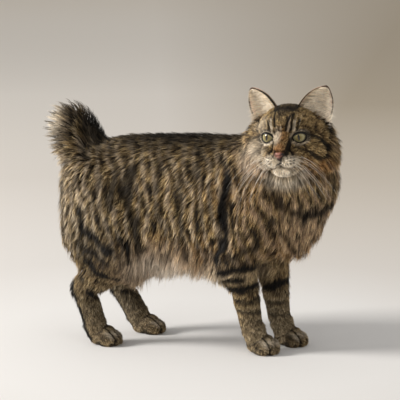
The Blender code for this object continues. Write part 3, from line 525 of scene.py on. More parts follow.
# %% Lie of the coat on the head, in the head's frame
RUFF_LIE = (
    ((-0.030, 0.045, 0.015), (-0.60, 0.3, -0.70), 0.020, 0.002, 0.2),
    ((-0.015, 0.052, -0.015), (-0.50, 0.3, -0.80), 0.022, 0.003, 0.3),
    ((0.000, 0.036, -0.036), (-0.35, 0.3, -0.88), 0.024, 0.003, 0.3),
    ((-0.005, 0.020, -0.048), (-0.30, 0.1, -0.95), 0.026, 0.003, 0.3),
    ((-0.055, 0.020, 0.000), (-0.60, 0.3, -0.75), 0.024, 0.002, 0.2),
    ((-0.045, 0.020, 0.030), (-0.95, 0.1, -0.30), 0.018, 0.001, 0.1),
)
FACE_LIE = (
    ((0.046, 0.002, -0.004), (-0.75, 0.1, 0.65), 0.0028, 0.0005, 0.1),
    ((0.034, 0.004, 0.004), (-0.65, 0.1, 0.75), 0.0038, 0.001, 0.1),
    ((0.024, 0.004, 0.016), (-0.55, 0.1, 0.85), 0.0050, 0.001, 0.1),
    ((0.018, 0.014, 0.030), (-0.55, 0.25, 0.80), 0.0062, 0.001, 0.1),
    ((0.004, 0.010, 0.042), (-0.90, 0.1, 0.40), 0.0080, 0.001, 0.1),
    ((-0.018, 0.010, 0.046), (-0.99, 0.1, 0.00), 0.0110, 0.002, 0.1),
    ((0.012, 0.030, 0.022), (-0.80, 0.5, 0.35), 0.0060, 0.001, 0.1),
    ((-0.002, 0.038, 0.018), (-0.85, 0.5, 0.05), 0.0090, 0.002, 0.1),
    ((0.029, 0.012, -0.003), (-0.50, 0.7, -0.50), 0.0034, 0.0005, 0.1),
    ((0.022, 0.027, -0.004), (-0.75, 0.6, -0.25), 0.0060, 0.001, 0.1),
    ((0.008, 0.040, -0.002), (-0.75, 0.55, -0.35), 0.0110, 0.003, 0.2),
    ((0.010, 0.036, -0.018), (-0.60, 0.4, -0.70), 0.0140, 0.002, 0.2),
    ((0.046, 0.008, -0.016), (-0.60, 0.75, -0.20), 0.0030, 0.0005, 0.1),
    ((0.036, 0.018, -0.020), (-0.75, 0.6, -0.30), 0.0045, 0.001, 0.1),
    ((0.022, 0.022, -0.026), (-0.75, 0.4, -0.50), 0.0080, 0.002, 0.2),
    ((0.040, 0.004, -0.032), (-0.40, 0.3, -0.85), 0.0040, 0.001, 0.1),
    ((0.022, 0.008, -0.038), (-0.60, 0.1, -0.80), 0.0100, 0.002, 0.3),
    ((0.006, 0.014, -0.040), (-0.50, 0.1, -0.85), 0.0180, 0.003, 0.3),
)

# %% Blend the guides
def placed_guides():
    """All guides as arrays: places, directions, the three values, and reach."""
    rows = []
    for side in (RIGHT, LEFT):
        fore, hind = (WORLD @ Matrix.Translation(feet[side]) for feet in (FORE_FEET, HIND_FEET))
        for place, table, reach in (
            (WORLD, BODY_LIE, 0.030), (fore, FORE_LIE, 0.016), (hind, HIND_LIE, 0.016),
            (HEAD, RUFF_LIE, 0.018), (HEAD, FACE_LIE, 0.014),
        ):
            for at, way, *values in table:
                at = place @ Vector((at[0], side * at[1], at[2]))
                way = (place.to_3x3() @ Vector((way[0], side * way[1], way[2]))).normalized()
                rows.append((*at, *way, *values, reach))
    rows = np.array(rows)
    return rows[:, :3], rows[:, 3:6], rows[:, 6:9], rows[:, 9]


GUIDE_AT, GUIDE_WAY, GUIDE_VALUES, GUIDE_REACH = placed_guides()


def unit(vectors):
    return vectors / np.maximum(np.linalg.norm(vectors, axis=-1, keepdims=True), 1e-12)


def lie_at(points):
    """Direction, and length, rise and freedom of the hair at each point."""
    ways, values = [], []
    for some in np.array_split(points, max(1, len(points) // 20000)):
        gaps = np.linalg.norm(some[:, None] - GUIDE_AT, axis=2) / GUIDE_REACH
        weights = np.exp(-np.minimum(gaps, 5.0) ** 2) + 1e-9 / (1e-3 + gaps ** 4)
        weights /= weights.sum(axis=1, keepdims=True)
        ways.append(weights @ GUIDE_WAY)
        values.append(weights @ GUIDE_VALUES)
    return unit(np.concatenate(ways)), np.concatenate(values)


print(len(GUIDE_AT), "guides for the lie of the coat")

# %% [markdown]
# ## Two surfaces that the coat needs
# The same balls once more give the bare body in one piece, which tells what lies inside another part,
# and, grown by the coat's depth, the surface where the tips lie. Both are only asked for their nearest
# point, through a tree of their faces, and then removed.

# %% Surfaces that the coat needs: the bare body, and where the tips lie
every = trunk_shapes + [shape for shapes in lowers + paws for shape in shapes] + head_shapes
graph = bpy.context.evaluated_depsgraph_get
bare = fuse("bare_form", every, 0, 0.0030, 0.003)
BARE = BVHTree.FromObject(bare, graph())
full = fuse("coat_form", every, 1, 0.0040, 0.006)
COAT_TOP = BVHTree.FromObject(full, graph())
for form in (bare, full):
    bpy.data.objects.remove(form)


def nearest(surface, points):
    """Nearest point of a surface to each point, and the way out there."""
    found = [surface.find_nearest(point)[:2] for point in map(Vector, points)]
    return np.array([at for at, out in found]), np.array([out for at, out in found])


# %% [markdown]
# ## The markings
# A brown tabby's coat has black bars, bands and spots over ticked brown, cream on muzzle, chin and
# belly, and rust on the nose and under the flanks. They are drawn here as a drawing teacher would
# name them: strokes with a width, and soft patches, in metres on the body, where y is mirrored, or on
# the head, each side on its own. One function gives the four amounts at any point: dark, pale, warm
# and grey. Skin and coat both ask it, so they agree.

# %% Strokes on the body
DARK, PALE, WARM, GREY = range(4)
BODY_STROKES = (
    (DARK, 0.0045, 0.75, ((-0.105, -0.045, 0.249), (-0.099, -0.063, 0.212), (-0.100, -0.070, 0.186))),
    (DARK, 0.0075, 0.90, ((-0.077, -0.052, 0.236), (-0.086, -0.059, 0.199), (-0.064, -0.076, 0.165),
                          (-0.060, -0.065, 0.139))),
    (DARK, 0.0060, 0.80, ((-0.042, -0.047, 0.251), (-0.041, -0.049, 0.245))),
    (DARK, 0.0045, 0.70, ((-0.029, -0.050, 0.247), (-0.028, -0.051, 0.243))),
    (DARK, 0.0040, 0.65, ((-0.062, -0.056, 0.206), (-0.054, -0.071, 0.182))),
    (DARK, 0.0050, 0.62, ((-0.040, -0.052, 0.222), (-0.038, -0.068, 0.190), (-0.030, -0.073, 0.160))),
    (DARK, 0.0050, 0.70, ((-0.010, -0.054, 0.234), (-0.011, -0.059, 0.202), (-0.001, -0.073, 0.175),
                          (-0.001, -0.059, 0.137))),
    (DARK, 0.0045, 0.65, ((-0.024, -0.073, 0.170), (-0.024, -0.052, 0.132))),
    (DARK, 0.0045, 0.70, ((0.018, -0.035, 0.268), (0.011, -0.050, 0.246), (0.012, -0.060, 0.222))),
    (DARK, 0.0040, 0.60, ((0.016, -0.066, 0.205), (0.022, -0.072, 0.178), (0.020, -0.066, 0.150))),
    (DARK, 0.0042, 0.55, ((0.033, -0.058, 0.222), (0.037, -0.070, 0.190), (0.036, -0.068, 0.160))),
    (DARK, 0.0050, 0.75, ((0.045, -0.048, 0.255), (0.052, -0.053, 0.248))),
    (DARK, 0.0068, 1.00, ((0.054, -0.057, 0.232), (0.055, -0.070, 0.187), (0.053, -0.071, 0.148),
                          (0.045, -0.068, 0.125))),
    (DARK, 0.0050, 0.85, ((0.045, -0.068, 0.125), (0.077, -0.072, 0.139), (0.097, -0.063, 0.145))),
    (DARK, 0.0045, 0.65, ((0.078, -0.060, 0.232), (0.074, -0.068, 0.205), (0.072, -0.072, 0.178))),
    (DARK, 0.0045, 0.60, ((0.072, -0.072, 0.164), (0.098, -0.066, 0.160))),
    (DARK, 0.0055, 1.00, ((-0.142, -0.073, 0.161), (-0.104, -0.082, 0.139), (-0.088, -0.079, 0.127))),
    (DARK, 0.0046, 1.00, ((-0.087, -0.080, 0.151), (-0.070, -0.075, 0.120))),
    (DARK, 0.0052, 1.00, ((-0.136, -0.070, 0.115), (-0.115, -0.072, 0.099), (-0.091, -0.069, 0.095))),
    (DARK, 0.0050, 1.00, ((-0.144, -0.064, 0.089), (-0.133, -0.057, 0.069))),
    (DARK, 0.0050, 0.95, ((-0.146, -0.068, 0.139), (-0.104, -0.082, 0.119))),
    (DARK, 0.0050, 0.90, ((-0.160, -0.050, 0.196), (-0.122, -0.070, 0.172), (-0.100, -0.078, 0.160))),
    (DARK, 0.0040, 0.60, ((-0.140, -0.050, 0.225), (-0.120, -0.064, 0.205))),
    (DARK, 0.0060, 0.80, ((-0.150, 0.0, 0.275), (-0.050, 0.0, 0.284), (0.060, 0.0, 0.284))),
    (DARK, 0.0040, 0.75, ((0.111, -0.062, 0.172), (0.129, -0.042, 0.156))),
    (DARK, 0.0040, 0.75, ((0.106, -0.071, 0.189), (0.119, -0.058, 0.179))),
    (DARK, 0.0072, 0.90, ((0.116, -0.066, 0.216), (0.128, -0.061, 0.199))),
    (DARK, 0.0040, 0.85, ((0.130, -0.060, 0.196), (0.150, -0.050, 0.187))),
    (DARK, 0.0066, 0.95, ((0.154, -0.046, 0.186), (0.172, -0.028, 0.188), (0.184, -0.012, 0.198))),
    (DARK, 0.0040, 0.80, ((0.096, -0.070, 0.150), (0.118, -0.052, 0.140), (0.140, -0.020, 0.140))),
)

# %% Strokes on the legs, each side where it stands: bars across, and lines down the rear edges
LEG_BARS = (
    (DARK, 0.0046, 1.00, ((0.055, -0.067, 0.113), (0.082, -0.062, 0.117), (0.098, -0.045, 0.116))),
    (DARK, 0.0040, 1.00, ((0.050, -0.060, 0.098), (0.070, -0.058, 0.100))),
    (DARK, 0.0038, 1.00, ((0.057, -0.051, 0.086), (0.083, -0.050, 0.090), (0.094, -0.036, 0.092))),
    (DARK, 0.0028, 0.85, ((0.063, -0.047, 0.074), (0.081, -0.047, 0.072), (0.092, -0.034, 0.072))),
    (DARK, 0.0024, 0.75, ((0.066, -0.044, 0.060), (0.083, -0.045, 0.057), (0.092, -0.030, 0.057))),
    (DARK, 0.0050, 1.00, ((0.088, 0.008, 0.078), (0.108, 0.016, 0.086), (0.112, 0.034, 0.086))),
    (DARK, 0.0030, 0.80, ((0.086, 0.010, 0.108), (0.110, 0.022, 0.112))),
    (DARK, 0.0028, 0.70, ((0.090, 0.012, 0.060), (0.112, 0.020, 0.062))),
    (DARK, 0.0024, 0.60, ((0.092, 0.012, 0.044), (0.116, 0.020, 0.045))),
    (DARK, 0.0026, 0.60, ((-0.138, -0.060, 0.056), (-0.120, -0.058, 0.052))),
    (DARK, 0.0026, 0.60, ((-0.100, 0.028, 0.062), (-0.118, 0.026, 0.060))),
    (DARK, 0.0030, 0.70, ((-0.066, 0.030, 0.100), (-0.096, 0.026, 0.092))),
    (DARK, 0.0030, 0.70, ((-0.078, 0.028, 0.082), (-0.108, 0.026, 0.078))),
)
LEG_LINES = (
    (DARK, 0.0075, 1.00, ((-0.163, -0.054, 0.080), (-0.152, -0.054, 0.040), (-0.141, -0.054, 0.008))),
    (DARK, 0.0075, 1.00, ((-0.143, 0.032, 0.070), (-0.130, 0.032, 0.036), (-0.115, 0.032, 0.008))),
    (DARK, 0.0040, 0.80, ((0.052, -0.032, 0.098), (0.062, -0.032, 0.050), (0.074, -0.030, 0.012))),
    (DARK, 0.0040, 0.70, ((0.078, 0.030, 0.098), (0.086, 0.030, 0.050), (0.096, 0.030, 0.012))),
)

# %% Soft patches on the body
BODY_PATCHES = (
    (DARK, (-0.030, 0.0, 0.294), (0.145, 0.058, 0.050), 1.00),
    (DARK, (-0.150, 0.0, 0.262), (0.036, 0.034, 0.026), 0.95),
    (DARK, (-0.142, 0.0, 0.296), (0.036, 0.060, 0.058), 1.00),
    (DARK, (-0.172, 0.0, 0.326), (0.028, 0.050, 0.020), 0.90),
    (DARK, (-0.118, -0.080, 0.124), (0.046, 0.034, 0.040), 0.68),
    (DARK, (0.064, -0.075, 0.125), (0.030, 0.020, 0.014), 0.60),
    (PALE, (-0.212, 0.0, 0.262), (0.022, 0.034, 0.018), 0.70),
    (PALE, (-0.200, 0.0, 0.195), (0.022, 0.070, 0.055), 0.55),
    (PALE, (-0.038, 0.0, 0.110), (0.052, 0.090, 0.028), 0.95),
    (WARM, (-0.038, 0.0, 0.112), (0.066, 0.090, 0.036), 0.95),
    (PALE, (-0.206, 0.0, 0.292), (0.018, 0.046, 0.044), 0.85),
    (PALE, (0.152, -0.020, 0.172), (0.040, 0.050, 0.036), 0.16),
    (PALE, (0.020, 0.0, 0.108), (0.060, 0.070, 0.020), 0.60),
    (PALE, (0.150, 0.0, 0.225), (0.030, 0.040, 0.030), 0.30),
    (WARM, (0.000, -0.040, 0.130), (0.080, 0.060, 0.022), 0.40),
    (WARM, (0.080, -0.060, 0.215), (0.050, 0.040, 0.035), 0.25),
    (WARM, (0.130, 0.0, 0.165), (0.045, 0.060, 0.050), 0.50),
    (WARM, (0.110, 0.018, 0.110), (0.024, 0.012, 0.045), 0.50),
    (DARK, (0.112, 0.030, 0.055), (0.034, 0.030, 0.065), 0.55),
    (DARK, (-0.115, 0.0, 0.055), (0.060, 0.090, 0.045), 0.28),
    (GREY, (-0.150, 0.0, 0.185), (0.065, 0.090, 0.065), 0.75),
    (GREY, (-0.120, 0.0, 0.040), (0.060, 0.090, 0.060), 0.80),
    (GREY, (0.095, 0.0, 0.030), (0.050, 0.080, 0.050), 0.75),
)

# %% Strokes and patches on each foot, in its own frame
PAW_STROKES = tuple(
    (DARK, 0.0011, 0.95, ((0.002, across, 0.0235), (0.014, across, 0.0185), (0.0215, across, 0.0080)))
    for across in (-0.0083, 0.0, 0.0083)
) + ((DARK, 0.0030, 0.85, ((-0.012, 0.0, 0.001), (0.0, 0.018, 0.001), (0.020, 0.010, 0.000))),
     (DARK, 0.0030, 0.85, ((-0.012, 0.0, 0.001), (0.0, -0.018, 0.001), (0.020, -0.010, 0.000))))
PAW_PATCHES = tuple((PALE, (0.015, across, 0.0150), (0.008, 0.0034, 0.005), 0.50)
                    for across in (-0.0125, -0.0043, 0.0043, 0.0125))

# %% Strokes and patches on the head
HEAD_STROKES = (
    (DARK, 0.0017, 0.95, ((0.0176, -0.0185, 0.0300), (0.0224, -0.0165, 0.0190))),
    (DARK, 0.0016, 0.95, ((0.0150, -0.0105, 0.0385), (0.0252, -0.0093, 0.0242))),
    (DARK, 0.0014, 0.90, ((0.0164, -0.0045, 0.0385), (0.0266, -0.0035, 0.0205))),
    (DARK, 0.0015, 0.90, ((0.0266, 0.0012, 0.0229), (0.0198, 0.0062, 0.0347))),
    (DARK, 0.0017, 0.95, ((0.0150, 0.0125, 0.0380), (0.0249, 0.0110, 0.0200))),
    (DARK, 0.0016, 0.85, ((0.0165, 0.0200, 0.0310), (0.0215, 0.0180, 0.0210))),
    (PALE, 0.0015, 0.55, ((0.0165, -0.0150, 0.0330), (0.0240, -0.0135, 0.0210))),
    (PALE, 0.0015, 0.60, ((0.0195, -0.0010, 0.0330), (0.0270, -0.0008, 0.0215))),
    (WARM, 0.0019, 0.40, ((0.0190, 0.0086, 0.0350), (0.0260, 0.0080, 0.0200))),
    (PALE, 0.0017, 0.35, ((0.0190, 0.0086, 0.0350), (0.0260, 0.0080, 0.0200))),
    (PALE, 0.0015, 0.45, ((0.0190, 0.0150, 0.0300), (0.0240, 0.0145, 0.0200))),
    (DARK, 0.0042, 0.95, ((0.0060, -0.0110, 0.0440), (-0.0160, -0.0130, 0.0480), (-0.035, -0.013, 0.043))),
    (DARK, 0.0040, 0.95, ((0.0060, 0.0090, 0.0440), (-0.0160, 0.0150, 0.0480), (-0.035, 0.016, 0.043))),
    (DARK, 0.0026, 0.60, ((-0.0050, 0.0010, 0.0475), (-0.035, 0.001, 0.0465))),
    (DARK, 0.0024, 0.95, ((0.0190, 0.0285, 0.0150), (0.0116, 0.0430, 0.0081), (-0.0062, 0.0560, -0.0105))),
    (DARK, 0.0023, 0.85, ((0.0263, 0.0330, -0.0079), (0.0151, 0.0440, -0.0169), (0.005, 0.0530, -0.0156))),
    (DARK, 0.0014, 0.70, ((0.0329, 0.0183, -0.0007), (0.0291, 0.0325, -0.0088))),
    (DARK, 0.0013, 0.95, ((0.0285, 0.0113, 0.0078), (0.0376, 0.0103, -0.0038), (0.0384, 0.0150, -0.0100))),
    (DARK, 0.0020, 0.65, ((0.0192, -0.0285, 0.0150), (0.0116, -0.0430, 0.0081), (-0.006, -0.055, -0.0105))),
    (DARK, 0.0020, 0.40, ((0.0259, -0.0320, -0.0040), (0.0151, -0.0440, -0.0160), (0.005, -0.053, -0.0156))),
    (DARK, 0.0013, 0.95, ((0.0285, -0.0113, 0.0078), (0.0376, -0.0108, -0.0030), (0.0384, -0.015, -0.0090))),
    (DARK, 0.0014, 0.60, ((0.0321, -0.0203, -0.0014), (0.0285, -0.0320, -0.0060))),
    (DARK, 0.0045, 0.60, ((0.0162, -0.0200, -0.0480), (0.0050, -0.0420, -0.0420), (-0.015, -0.055, -0.0280))),
    (DARK, 0.0045, 0.60, ((0.0162, 0.0200, -0.0480), (0.0050, 0.0420, -0.0420), (-0.015, 0.055, -0.0280))),
    (DARK, 0.0012, 0.70, ((0.0505, 0.0060, -0.0040), (0.0490, 0.0085, -0.0115))),
    (DARK, 0.0012, 0.70, ((0.0505, -0.0060, -0.0040), (0.0490, -0.0085, -0.0115))),
    (DARK, 0.0022, 0.95, ((0.0300, 0.0118, 0.0094), (0.0380, 0.0094, 0.0011), (0.0460, 0.0080, -0.0086))),
    (DARK, 0.0016, 0.95, ((0.0310, 0.0050, 0.0200), (0.0290, 0.0070, 0.0300), (0.0220, 0.0090, 0.0360))),
)
HEAD_PATCHES = (
    (WARM, (0.044, -0.0007, -0.0030), (0.016, 0.0070, 0.0090), 0.85),
    (PALE, (0.034, -0.0055, 0.0120), (0.012, 0.0048, 0.0100), 0.55),
    (WARM, (0.034, 0.0010, 0.0120), (0.012, 0.0070, 0.0100), 0.55),
    # The cat's right cheek: pale fur, made paler still by painted light where the key light falls on that side of the
    # face.
    (PALE, (0.020, -0.0360, -0.0090), (0.030, 0.0140, 0.0160), 0.50),
    (PALE, (0.000, -0.0520, -0.0220), (0.026, 0.0150, 0.0200), 0.40),
    (WARM, (0.006, -0.0420, -0.0300), (0.030, 0.0200, 0.0200), 0.60),
    (PALE, (0.010, -0.0330, 0.0260), (0.020, 0.0120, 0.0100), 0.30),
    (WARM, (0.000, 0.0480, -0.0310), (0.026, 0.0180, 0.0130), 0.65),
    (DARK, (-0.020, 0.0530, 0.0180), (0.016, 0.0130, 0.0110), 0.85),
    (PALE, (0.045, 0.011, -0.0190), (0.014, 0.0115, 0.0070), 1.30),
    (PALE, (0.045, -0.011, -0.0190), (0.014, 0.0115, 0.0070), 1.50),
    (PALE, (0.040, 0.0, -0.034), (0.014, 0.012, 0.008), 1.50),
    (PALE, (0.028, 0.020, -0.0245), (0.012, 0.007, 0.006), 0.20),
    (PALE, (0.028, -0.022, -0.0245), (0.014, 0.010, 0.006), 0.55),
    (WARM, (0.022, 0.028, -0.0200), (0.012, 0.010, 0.007), 0.50),
    (PALE, (0.020, 0.0, -0.044), (0.020, 0.026, 0.014), 0.80),
    (WARM, (0.004, 0.034, -0.034), (0.024, 0.018, 0.016), 0.50),
    (PALE, (0.004, -0.034, -0.034), (0.020, 0.016, 0.014), 0.30),
    (DARK, (0.006, 0.0000, 0.0460), (0.020, 0.0170, 0.0100), 0.95),
    (DARK, (-0.020, 0.0, 0.050), (0.026, 0.022, 0.014), 0.90),
)
# Rows of dark dots on the whisker pads, where the whiskers stand.
PAD_DOTS = tuple(
    (0.046 - 0.10 * abs(across), across, up + 0.12 * (abs(across) - 0.010))
    for up in (-0.0135, -0.0170, -0.0205)
    for across in (-0.0175, -0.0140, -0.0105, 0.0100, 0.0135, 0.0170, 0.0205)
)

# %% Amounts of each colour at a point
draw = np.random.default_rng(11)
WAVE_WAYS = unit(draw.normal(size=(9, 3)))
WAVE_STARTS = draw.uniform(0, 2 * math.pi, 9)


def ripple(points, period, first=0):
    """A soft wandering value between about -1 and 1 that changes over that many metres."""
    total = 0
    for i in range(first, first + 5):
        total = total + np.sin(points @ WAVE_WAYS[i % 9] * (2 * math.pi / period) * (0.7 + 0.15 * i)
                               + WAVE_STARTS[i % 9])
    return total / 2.6


def gap_to_line(points, line):
    best = np.full(len(points), 1.0)
    for start, end in zip(line, line[1:]):
        start, run = np.array(start), np.array(end) - np.array(start)
        share = np.clip((points - start) @ run / (run @ run), 0, 1)
        best = np.minimum(best, np.linalg.norm(points - start - share[:, None] * run, axis=1))
    return best


def draw_on(amounts, points, strokes, patches, flatten=(1, 1, 1)):
    """Raises the amounts by strokes and patches; flatten makes a stroke reach into the depth."""
    whole = points
    points = points * flatten
    for channel, half_width, strength, line in strokes:
        line = np.array(line) * flatten
        low, high = np.min(line, axis=0) - 1.5 * half_width, np.max(line, axis=0) + 1.5 * half_width
        near = np.flatnonzero(np.all((points > low) & (points < high), axis=1))
        edge = np.clip((1.45 - gap_to_line(points[near], line) / half_width) / 0.7, 0, 1)
        amounts[near, channel] = np.maximum(amounts[near, channel], strength * edge * edge * (3 - 2 * edge))
    for channel, centre, reach, strength in patches:
        gaps = ((whole - np.array(centre)) / np.array(reach)) ** 2
        amount = strength * np.exp(-0.8 * gaps.sum(axis=1) ** 1.5)
        amounts[:, channel] = np.maximum(amounts[:, channel], amount)


def into(place, points):
    """Points as seen in a frame."""
    turn = np.array(place.inverted())
    return points @ turn[:3, :3].T + turn[:3, 3]


def eye_rims(points):
    """Dark on the lids and pale round them, by how many openings' sizes a point is from an eye."""
    dark, pale = np.zeros(len(points)), np.zeros(len(points))
    for side in (RIGHT, LEFT):
        seen = into(eye_frame(side), points)
        away = np.hypot(seen[:, 1] / EYE_OPENING[0], seen[:, 2] / EYE_OPENING[1])
        near = (seen[:, 0] > 0) & (away < 3)
        heavy = 1.18 + 0.02 * np.clip(seen[:, 2] / EYE_OPENING[1], 0, 1)
        dark = np.maximum(dark, near * np.clip((heavy - away) / 0.10, 0, 1))
        side_share = 0.70 if side == RIGHT else 0.28
        pale = np.maximum(pale, near * side_share * np.clip((1.70 - away) / 0.35, 0, 1))
    return dark, pale * (1 - dark)


def markings(points):
    """Dark, pale, warm and grey at each point, from 0 to 1."""
    plain = points - np.array(SHIFT)
    wander = np.stack([ripple(plain, 0.045, i) for i in (0, 2, 4)], axis=1) * 0.0028
    wander += np.stack([ripple(plain, 0.014, i) for i in (1, 3, 5)], axis=1) * 0.0009
    amounts = np.zeros((len(points), 4))
    top = nearest(COAT_TOP, points)[0] - np.array(SHIFT)
    mirrored = top + wander
    mirrored[:, 1] = -np.abs(mirrored[:, 1])
    draw_on(amounts, mirrored, BODY_STROKES, BODY_PATCHES)
    draw_on(amounts, top + wander * 0.4, LEG_BARS, (), (0.4, 0.4, 1))
    draw_on(amounts, top, LEG_LINES, ())
    bars = np.sin((mirrored[:, 0] + 0.25 * mirrored[:, 2]) * (2 * math.pi / 0.0150) + 2.2 * ripple(plain, 0.07))
    broken = np.clip(1.6 * ripple(plain, 0.035, 3) + 0.45, 0, 1) * np.clip(1.6 * bars - 0.2, 0, 1)
    amounts[:, DARK] = np.maximum(amounts[:, DARK], 0.95 * broken * (plain[:, 2] > 0.12))
    between = np.clip(-1.5 * bars - 0.1, 0, 1) * (plain[:, 2] > 0.12)
    ahead = np.clip((plain[:, 0] - 0.04) / 0.04, 0, 1)
    amounts[:, PALE] = np.maximum(amounts[:, PALE], (0.26 - 0.08 * ahead) * between)
    amounts[:, WARM] = np.maximum(amounts[:, WARM], (0.10 + 0.30 * ahead) * between)
    rings = np.sin(top[:, 2] * (2 * math.pi / 0.0105) + 1.5 * ripple(plain, 0.05))
    on_leg = np.clip((0.125 - top[:, 2]) / 0.02, 0, 1) * np.clip((top[:, 2] - 0.030) / 0.01, 0, 1)
    amounts[:, DARK] = np.maximum(amounts[:, DARK], 0.55 * on_leg * np.clip(1.5 * rings - 0.4, 0, 1)
                                  * np.clip(1.5 * ripple(plain, 0.03, 2) + 0.5, 0, 1))
    for side in (RIGHT, LEFT):
        for foot, turn in ((FORE_FEET[side], FORE_TURN[side]), (HIND_FEET[side], HIND_TURN[side])):
            near_foot = np.flatnonzero(np.linalg.norm(plain - np.array(foot), axis=1) < 0.035)
            place = WORLD @ Matrix.Translation(foot) @ Matrix.Rotation(turn, 4, "Z")
            some = amounts[near_foot]
            draw_on(some, into(place, points[near_foot]), PAW_STROKES, PAW_PATCHES, (1, 1, 0.5))
            amounts[near_foot] = some
    head_points = into(HEAD, points)
    on_head = np.exp(-(np.linalg.norm(head_points - (0.0, 0, 0.0), axis=1) / 0.066) ** 8)
    head = np.zeros((len(points), 4))
    draw_on(head, head_points + wander * 0.12, HEAD_STROKES, HEAD_PATCHES, (0.35, 1, 1))
    rims, around = eye_rims(points)
    head[:, DARK] = np.maximum(head[:, DARK] * (1 - 0.6 * around), rims)
    head[:, PALE] = np.maximum(head[:, PALE], around)
    for dot in PAD_DOTS:
        gap = np.linalg.norm((head_points - dot) * (0.3, 1, 1), axis=1)
        head[:, DARK] = np.maximum(head[:, DARK], 0.85 * np.clip((0.0017 - gap) / 0.0007, 0, 1))
    amounts *= (1 - on_head)[:, None]
    amounts = np.maximum(amounts, head * np.clip(on_head * 4, 0, 1)[:, None])
    return np.clip(amounts, 0, 1)


def row_markings(path):
    """Markings at the rows of many strands, so that a bar keeps its edge; the root takes the next row's."""
    flat = markings(path[:, 1:].reshape(-1, 3)).reshape(len(path), -1, 4)
    return np.concatenate([flat[:, :1], flat], axis=1)


def store(mesh, name, kind, values):
    """An attribute of the mesh's points."""
    key = {"FLOAT_VECTOR": "vector", "FLOAT_COLOR": "color", "FLOAT": "value"}[kind]
    mesh.attributes.new(name, kind, "POINT").data.foreach_set(key, np.ascontiguousarray(values, np.float32).ravel())


skin_points = np.array([vert.co for vert in skin.data.vertices])
store(skin.data, "markings", "FLOAT_COLOR", markings(skin_points))
speckle = np.stack([np.full(len(skin_points), 0.40), draw.random(len(skin_points)),
                    0.5 + 0.4 * ripple(skin_points, 0.02)], axis=1)
store(skin.data, "strand", "FLOAT_VECTOR", speckle)
print("markings on", len(skin_points), "points of the skin")

# %% [markdown]
# ## Fur that is ticked along each hair
# A brown tabby's hair is agouti: grey-brown at the root, black or brown in the middle, with a buff band near the tip,
# and some hairs end black. Here the ramps darken towards the root, all but the pale one to near black: painted shade
# deep in the coat, between the tufts. Where a marking is dark the whole hair is near black; where it is pale the hair
# is cream all along. Each colour is a ramp along the strand, and the markings mix the ramps. Keratin has an IOR of
# about 1.55 and a soft gloss, so roughness is high.

# %% The colour along a strand
# Every ramp darkens towards the root: painted shade deep in the coat, between the tufts, over the hair's own bands.
FUR_RAMPS_WITH_ROOT_SHADE = {
    "tabby": ((0.0, "#0f0c08"), (0.34, "#2c2317"), (0.60, "#6b5538"), (0.82, "#b19563"), (1.0, "#e6cf9f")),
    "grey": ((0.0, "#12100d"), (0.34, "#2e2820"), (0.60, "#605544"), (0.82, "#a29379"), (1.0, "#d6cab2")),
    "warm": ((0.0, "#2a190d"), (0.35, "#6b4527"), (0.70, "#a9753f"), (1.0, "#d6aa73")),
    "pale": ((0.0, "#c2b196"), (0.35, "#e2d3ba"), (0.70, "#f3e9d8"), (1.0, "#fcf7ee")),
    "dark": ((0.0, "#070605"), (0.60, "#0d0b08"), (0.90, "#15110d"), (1.0, "#2a2219")),
}


def fur_colour(tree):
    """Nodes that mix the ramps by the strand's own values and the markings."""
    strand = add(tree, "ShaderNodeAttribute", attribute_name="strand")
    along = add(tree, "ShaderNodeSeparateXYZ", {0: strand.outputs["Vector"]})
    marks = add(tree, "ShaderNodeAttribute", attribute_name="markings")
    amount = add(tree, "ShaderNodeSeparateColor", {0: marks.outputs["Color"]})
    uneven = add(tree, "ShaderNodeMapRange", {0: along.outputs[1], 3: -0.28, 4: 0.20})
    place = add(tree, "ShaderNodeMath", {0: along.outputs[0], 1: uneven.outputs[0]}, use_clamp=True)
    ramps = {
        name: set_stops(add(tree, "ShaderNodeValToRGB", {0: place.outputs[0]}), stops)
        for name, stops in FUR_RAMPS_WITH_ROOT_SHADE.items()
    }
    shares = (("grey", marks.outputs["Alpha"]), ("warm", amount.outputs[2]),
              ("pale", amount.outputs[1]), ("dark", amount.outputs[0]))
    colour = ramps["tabby"]
    for name, share in shares:
        colour = add(tree, "ShaderNodeMix", {0: share, 6: colour, 7: ramps[name]}, data_type="RGBA").outputs[2]
    value = add(tree, "ShaderNodeMapRange", {0: along.outputs[2], 3: 0.36, 4: 1.66})
    return add(tree, "ShaderNodeHueSaturation", {"Value": value.outputs[0], "Color": colour}).outputs[0]


coat_fur, tree, shader = new_material(
    "agouti_guard_hair", Roughness=0.60, IOR=1.55, Specular_IOR_Level=0.16)
tree.links.new(fur_colour(tree), shader.inputs["Base Color"])

skin_fur, tree, shader = new_material("short_underfur_on_skin", Roughness=0.85, IOR=1.5, Specular_IOR_Level=0.15)
tree.links.new(fur_colour(tree), shader.inputs["Base Color"])
where = add(tree, "ShaderNodeTexCoord")
# Underfur is about 0.02 mm thick, too fine to show, so the bump is drawn at 0.7 mm.
fuzz = add(tree, "ShaderNodeTexNoise", {"Vector": where.outputs["Object"], "Scale": 1400.0, "Detail": 4.0})
bump = add(tree, "ShaderNodeBump", {"Height": fuzz.outputs[0], "Strength": 0.5, "Distance": 0.0005})
tree.links.new(bump.outputs[0], shader.inputs["Normal"])
skin.data.materials.clear()
skin.data.materials.append(skin_fur)

# %% [markdown]
# ## Roots
# Hair grows everywhere on the skin, finer and closer where it is short. Roots are drawn at random on
# the skin's triangles, each triangle getting its share by area and by how dense the coat is there.
# Roots that lie inside another shell, in an eye opening or under the nose leather are left out.

